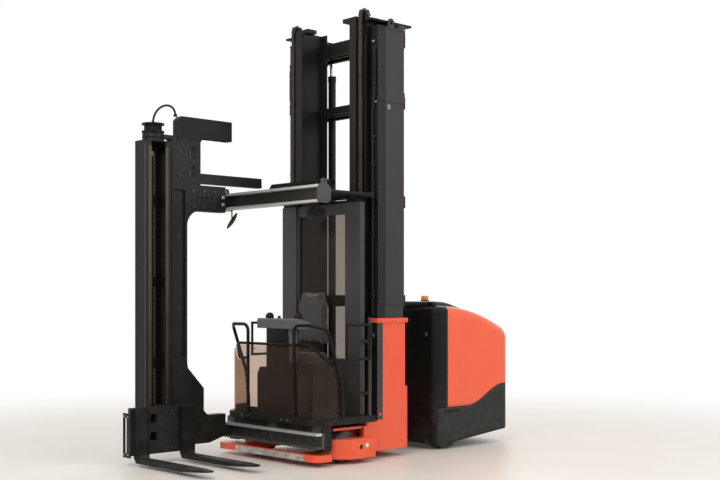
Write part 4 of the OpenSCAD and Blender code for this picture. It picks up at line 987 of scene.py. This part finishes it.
# mast: screws of the covers, marks, springs and hoses beside the columns, pipes on the middle stage
mast = {"coverX": (-0.365, -0.045), "coverZ": (1.56, 2.1, 2.7, 3.3, 3.9, 4.22), "bandX": (-0.35, -0.20, -0.05),
        "frontBolts": ((0.61, 4.145), (0.645, 3.54), (0.61, 3.2), (0.61, 2.4), (0.61, 1.62)),
        "rearZ": (1.50, 1.56, 1.63, 1.86, 2.5), "collarX": (-0.38, -0.20, -0.03), "hoseY": 0.645,
        "turns": 34, "spring": (3.70, 4.02), "springR": 0.0135,
        "hose": [(0.0, 0.0, 4.06), (0.0, 0.0, 3.66), (0.0, 0.0, 3.6), (0.001, 0.02, 3.48), (0.0, 0.03, 3.40),
                 (0.0, 0.022, 3.2), (0.0, 0.02, 2.2), (0.0, 0.02, 1.42)],
        "hoseClips": (3.56, 2.9, 2.2, 1.6), "pipeX": 0.0405, "pipeY": (0.482, 0.5585),
        "pipeClips": (1.55, 2.3, 3.1, 3.8, 4.15)}


def mastFasteners():
    cover, bright, collar = [], [], []
    for side in (1, -1):
        cover += aimed((0, side, 0), [(x, side * 0.6781, z) for x in mast["coverX"] for z in mast["coverZ"]])
        cover += aimed((0, side, 0), [(x, side * 0.6841, 3.605) for x in mast["bandX"]])
        bright += aimed((1, 0, 0), [(-0.02, side * y, z) for y, z in mast["frontBolts"]])
        bright += aimed((-1, 0, 0), [(-0.386, side * 0.63, z) for z in mast["rearZ"]])
        collar += aimed((0, side, 0), [(x, side * 0.7001, 1.3675) for x in mast["collarX"]])
    bolts("coverScrews", "chassis", "darkBolt", 0.012, cover, sides=16, height=0.004)
    bolts("mastBolts", "chassis", "boltSteel", 0.018, bright, height=0.009)
    pulley = [((0.018, side * 0.5671, 4.407), (0, side, 0)) for side in (1, -1)]
    bolts("pulleyNuts", "mast_middle", "darkBolt", 0.03, pulley)
    bolts("collarBolts", "chassis", "orangePaint", 0.016, collar)


def mastLines():
    marks, coil, hoses, pipes = Shape(), Shape(), Shape(), Shape()
    low, high = mast["spring"]
    r, steps = mast["springR"], mast["turns"] * 12
    for side in (1, -1):
        y = side * mast["hoseY"]
        marks.tube([(-0.17 + 0.014 * math.cos(a), side * 0.681, 3.498 + 0.022 * math.sin(a))
                    for a in (2 * math.pi * k / 20 for k in range(21))], 0.003, sides=6)
        coil.tube([(r * math.cos(math.pi * k / 6), side * (mast["hoseY"] + r * math.sin(math.pi * k / 6)),
                    low + (high - low) * k / steps) for k in range(steps + 1)], 0.0036, sides=5)
        hoses.tube([(x, y - side * inward, z) for x, inward, z in mast["hose"]], 0.0095, sides=12)
        hoses.lathe([(0, 0), (0.013, 0), (0.013, 0.03), (0.009, 0.034), (0, 0.034)], (0.0, y, 4.05), sides=12)
        for z in mast["hoseClips"]:
            middle = y - side * 0.02
            hoses.block((-0.0195, middle - 0.022, z), (0.012, middle + 0.022, z + 0.018), 0.003)
        for pipeY in mast["pipeY"]:
            pipes.tube([(mast["pipeX"], side * pipeY, z) for z in (1.45, 2.4, 3.3, 4.2)], 0.0062, sides=10)
        for z in mast["pipeClips"]:
            pipes.block((0.0305, side * 0.52 - 0.049, z), (0.036, side * 0.52 + 0.049, z + 0.022), 0.002)
    marks.piece("coverEyes", "stripSteel", "chassis", "silver")
    coil.piece("hoseSprings", "chainSteel", "chassis", "chain_steel")
    hoses.piece("mastHoses", "hoseRubber", "chassis", "black_plastic")
    pipes.piece("stagePipes", "blackPaint", "mast_middle", "black_paint")


mastFasteners()
mastLines()

# turret and traverse column: strips, free lift cylinder, chains, bolts, hose turns on the drum
head = {"x": 1.698, "y": -0.7, "track": 0.1402, "trackY": (-0.785, -0.615), "sideX": (1.60, 1.796), "ramY": -0.762,
        "ramTop": 1.68, "rodTop": 3.02, "chains": {"Rear": 1.662, "Front": 1.734}, "chainY": -0.768,
        "chainZ": (0.30, 2.95), "columnX": 1.42, "columnZ": (0.30, 0.50, 0.86, 1.5, 2.2, 2.80, 3.04),
        "thin": (1.05, 2.6),
        "armX": (1.0, 1.13, 1.26), "armZ": (2.50, 2.66), "carriageX": (1.36, 1.52, 1.60, 1.88, 2.03),
        "forks": (1.438, 1.958), "turns": 4, "turnR": 0.0815}


def turretStrips():
    strips = Shape()
    for out in (-1, 1):
        x = head["x"] + out * head["track"]
        for y in head["trackY"]:
            near, far = sorted((x, x + out * 0.002))
            strips.block((near, y - 0.012, 0.26), (far, y + 0.012, 3.08), 0.0005)
    for x in head["sideX"]:
        strips.block((x - 0.018, -0.5998, 0.26), (x + 0.018, -0.598, 3.06), 0.0005)
    strips.piece("trackStrips", "chainSteel", "turret", "silver")
    spot, top = (head["x"], head["ramY"], 0), head["ramTop"]
    ram = Shape()
    ram.lathe([(0, 0.24), (0.019, 0.24), (0.019, top - 0.02), (0.017, top), (0, top)], spot, sides=28)
    ram.piece("forkRam", "blackPaint", "turret", "black_paint")
    rod = Shape()
    rod.lathe([(0, top), (0.0165, top), (0.0165, head["rodTop"]), (0, head["rodTop"])], spot, sides=28)
    rod.block((1.652, -0.781, 2.98), (1.744, -0.744, 3.03), 0.004)
    rod.piece("forkRamRod", "stripSteel", "turret", "chrome")
    cell = chainCell()
    for end, x in head["chains"].items():
        line = [(x, head["chainY"], z) for z in head["chainZ"]]
        along("forkChain" + end, "turret", "chain_steel", "chainSteel", line, chain["pitch"] * 2, cell, side=(1, 0, 0))
    bpy.data.objects.remove(cell)
    stripe = Shape()
    stripe.block((1.5102, -0.745, 0.95), (1.512, -0.655, 3.12), 0.0005)
    stripe.piece("columnStripe", "greyPlastic", "traverse", "silver")


def headFasteners():
    y, thin = head["y"], head["thin"]
    places = []
    for z in head["columnZ"]:
        half = 0.022 if thin[0] < z < thin[1] else 0.0502
        places += [((head["columnX"], y + side * half, z), (0, side, 0)) for side in (1, -1)]
    for x in head["armX"]:
        places += [((x, y + side * 0.0502, z), (0, side, 0)) for z in head["armZ"] for side in (1, -1)]
    bolts("columnBolts", "traverse", "darkBolt", 0.022, places)
    roller = [((0.896, y + side * 0.0603, z), (0, side, 0)) for side in (1, -1) for z in (2.54, 2.61)]
    bolts("rollerCaps", "traverse", "boltSteel", 0.03, roller, sides=24, height=0.006, washer=1.3)
    carriage = []
    for x in head["carriageX"]:
        for z in (0.14, 0.50):
            carriage.append(((x, -0.5698, z), (0, -1, 0)))
            if min(abs(x - fork) for fork in head["forks"]) > 0.1:
                carriage.append(((x, -0.5198, z), (0, 1, 0)))
    bolts("carriageBolts", "fork_slide", "darkBolt", 0.02, carriage)
    bracket = aimed((1, 0, 0), [(2.0722, across, z) for across in (-0.55, -0.62) for z in (0.11, 0.47)])
    bolts("bracketBolts", "fork_slide", "boltSteel", 0.012, bracket)
    drum = Shape()
    for k in range(head["turns"]):
        turn = arc((head["x"], y), head["turnR"], 0, 360, 40, lambda u, v: (u, v, 3.2255 + 0.0125 * k))
        drum.tube(turn, 0.0062, sides=8)
    drum.piece("drumTurns", "hoseRubber", "turret", "black_plastic")


turretStrips()
headFasteners()

# hose from the middle of the drum over to the hose arm
hose = {"radius": 0.011, "exit": (1.698, -0.70, 3.290), "end": (1.438, -0.70, 3.3905), "lift": (0.20, 0.17),
        "steps": 24, "gland": [(0, -0.004), (0.02, -0.004), (0.02, 0.008), (0.014, 0.022), (0.0112, 0.024), (0, 0.024)]}


def hoseLoop():
    a, b = Vector(hose["exit"]), Vector(hose["end"])
    overA, overB = (end + Vector((0, 0, lift)) for end, lift in zip((a, b), hose["lift"]))
    points = []
    for i in range(hose["steps"] + 1):
        t = i / hose["steps"]
        points.append(a * (1 - t) ** 3 + overA * 3 * t * (1 - t) ** 2 + overB * 3 * t * t * (1 - t) + b * t ** 3)
    loop = Shape()
    loop.tube(points, hose["radius"], sides=14)
    made = loop.piece("hoseLoop", "hoseRubber", "traverse", "black_plastic")
    glands = Shape()
    for p in (a, b):
        glands.lathe(hose["gland"], p, sides=18)
    glands.piece("hoseGlands", "blackPlastic", "traverse", "black_plastic")
    length = round(sum((q - p).length for p, q in zip(points, points[1:])), 3)
    print("hose loop length", length)


hoseLoop()

# chassis: screws, guide buttons and guide rollers of the wheel arms
chassis = {"half": 0.8101, "armX": (0.19, 0.44), "socketX": (-0.36, -0.04), "socketZ": (0.16, 0.44),
           "button": [(0, 0), (0.021, 0), (0.021, 0.003), (0.017, 0.005), (0, 0.005)],
           "roller": [(0, 0), (0.019, 0), (0.021, 0.003), (0.021, 0.017), (0.019, 0.02), (0, 0.02)]}


def chassisDetails():
    places, button, roller = [], Shape(), Shape()
    for side in (1, -1):
        places += aimed((0, side, 0), [(x, side * chassis["half"], 0.12) for x in chassis["armX"]])
        places += aimed((0, side, 0), [(x, side * 0.6841, z) for x in chassis["socketX"] for z in chassis["socketZ"]])
        button.lathe(chassis["button"], (0.255, side * 0.81, 0.17), (0, side, 0))
        roller.lathe(chassis["roller"], (0.33, side * 0.785, 0.16), (0, side, 0))
    bolts("chassisBolts", "chassis", "orangePaint", 0.02, places)
    button.piece("guideButtons", "whitePlastic", "chassis", "grey_plastic")
    roller.piece("guideRollers", "hoseRubber", "chassis", "black_plastic")


chassisDetails()

# energy chain: link pins and cables of (x, radius) inside
energy = {"z": 2.6363, "links": 14, "pitch": 0.06, "start": -0.54, "bend": 0.059, "end": 0.235,
          "cables": ((0.225, 0.009), (0.25, 0.011), (0.277, 0.008), (0.298, 0.007))}


def energyChain():
    z, bend, end = energy["z"], energy["bend"], energy["end"]
    places = []
    for i in range(energy["links"]):
        y = energy["start"] + energy["pitch"] * i
        for run in (0, 2 * bend):
            places += [((0.3202, y, z + run), (1, 0, 0)), ((0.1998, y, z + run), (-1, 0, 0))]
    bolts("linkPins", "cab", "blackPlastic", 0.016, places, sides=16, height=0.003)
    cables = Shape()
    for x, r in energy["cables"]:
        line = [(x, y, z) for y in (end, 0.1, -0.1, -0.3, -0.5)]
        line += arc((energy["start"], z + bend), bend, -90, -270, 12, lambda u, v: (x, u, v))
        line += [(x, y, z + 2 * bend) for y in (-0.4, -0.2, 0.0, end)]
        cables.tube(line, r, sides=8)
    cables.piece("chainCables", "hoseRubber", "cab", "black_plastic")


energyChain()
print("details done")

# floor, light, camera; lamps of (place, size, power)
studio = {"camera": (7.9, 8.85, 1.6), "look": (-0.6846, -0.7289, 0.0), "lens": 57.5, "shift": 57 / 720, "size": 60,
          "floor": (0.70, 0.66, 0.60), "fade": (2.5, 9.0), "world": 0.72, "aim": (0, 0, 1.8),
          "lamps": {"key": ((6.5, 3.0, 6.0), 4.0, 260), "side": ((-3.0, 8.0, 5.0), 4.0, 200),
                    "rear": ((-7.0, -6.0, 6.0), 5.0, 160), "top": ((0.0, 0.0, 8.0), 5.0, 120)}}


def studioFloor():
    mesh = bpy.data.meshes.new("floorSheet")
    size = studio["size"]
    mesh.from_pydata([(-size, -size, 0), (size, -size, 0), (size, size, 0), (-size, size, 0)], [], [(0, 1, 2, 3)])
    wire, place = startMaterial("paleFloor")
    x, y = place.part("X"), place.part("Y")
    away = ((x * x + y * y) ** 0.5).step(*studio["fade"])
    stains = place.noise(1.3, 5.0).step(0.3, 0.75)
    colour = (stains * 0.35).tint(studio["floor"], tuple(c * 0.88 for c in studio["floor"]))
    shader = wire.add("ShaderNodeBsdfPrincipled", {}, {"Base Color": colour, "Roughness": 0.42})
    glow = wire.add("ShaderNodeEmission", {}, {"Color": (1, 1, 1), "Strength": 1.0})
    seen = wire.add("ShaderNodeLightPath", out="Is Camera Ray")
    mixed = wire.add("ShaderNodeMixShader", {}, {0: away * seen, 1: shader, 2: glow})
    wire.add("ShaderNodeOutputMaterial", {}, {"Surface": mixed})
    mesh.materials.append(materials["paleFloor"])
    newObject("floorSheet", mesh)


# soft grey light on the truck, plain white to the camera, to reflections and through glass
def studioWorld():
    world = bpy.data.worlds.new("studioWorld")
    bpy.context.scene.world = world
    world.use_nodes = True
    world.node_tree.nodes.clear()
    sky = Wire(world.node_tree)
    white = 0.0
    for ray in ("Is Camera Ray", "Is Glossy Ray", "Is Transmission Ray"):
        white = sky.maths("MAXIMUM", white, sky.add("ShaderNodeLightPath", out=ray))
    plain = sky.add("ShaderNodeBackground", {}, {"Color": (1.0, 0.99, 0.97), "Strength": studio["world"]})
    bright = sky.add("ShaderNodeBackground", {}, {"Color": (1, 1, 1), "Strength": 1.0})
    mixed = sky.add("ShaderNodeMixShader", {}, {0: white, 1: plain, 2: bright})
    sky.add("ShaderNodeOutputWorld", {}, {"Surface": mixed})


def studioLamps():
    for name, (spot, wide, power) in studio["lamps"].items():
        data = bpy.data.lights.new(name, "AREA")
        data.shape, data.size, data.energy = "SQUARE", wide, power
        item = newObject(name, data)
        item.location = spot
        item.rotation_euler = (Vector(studio["aim"]) - Vector(spot)).to_track_quat("-Z", "Y").to_euler()


def photoCamera():
    data = bpy.data.cameras.new("photoCamera")
    data.lens, data.sensor_width, data.shift_y = studio["lens"], 36, studio["shift"]
    data.clip_end = 200
    camera = newObject("photoCamera", data)
    camera.location = studio["camera"]
    camera.rotation_euler = Vector(studio["look"]).to_track_quat("-Z", "Y").to_euler()
    bpy.context.scene.camera = camera
    bpy.context.scene.view_settings.view_transform = "Standard"


studioFloor()
studioWorld()
studioLamps()
photoCamera()
print("studio done")
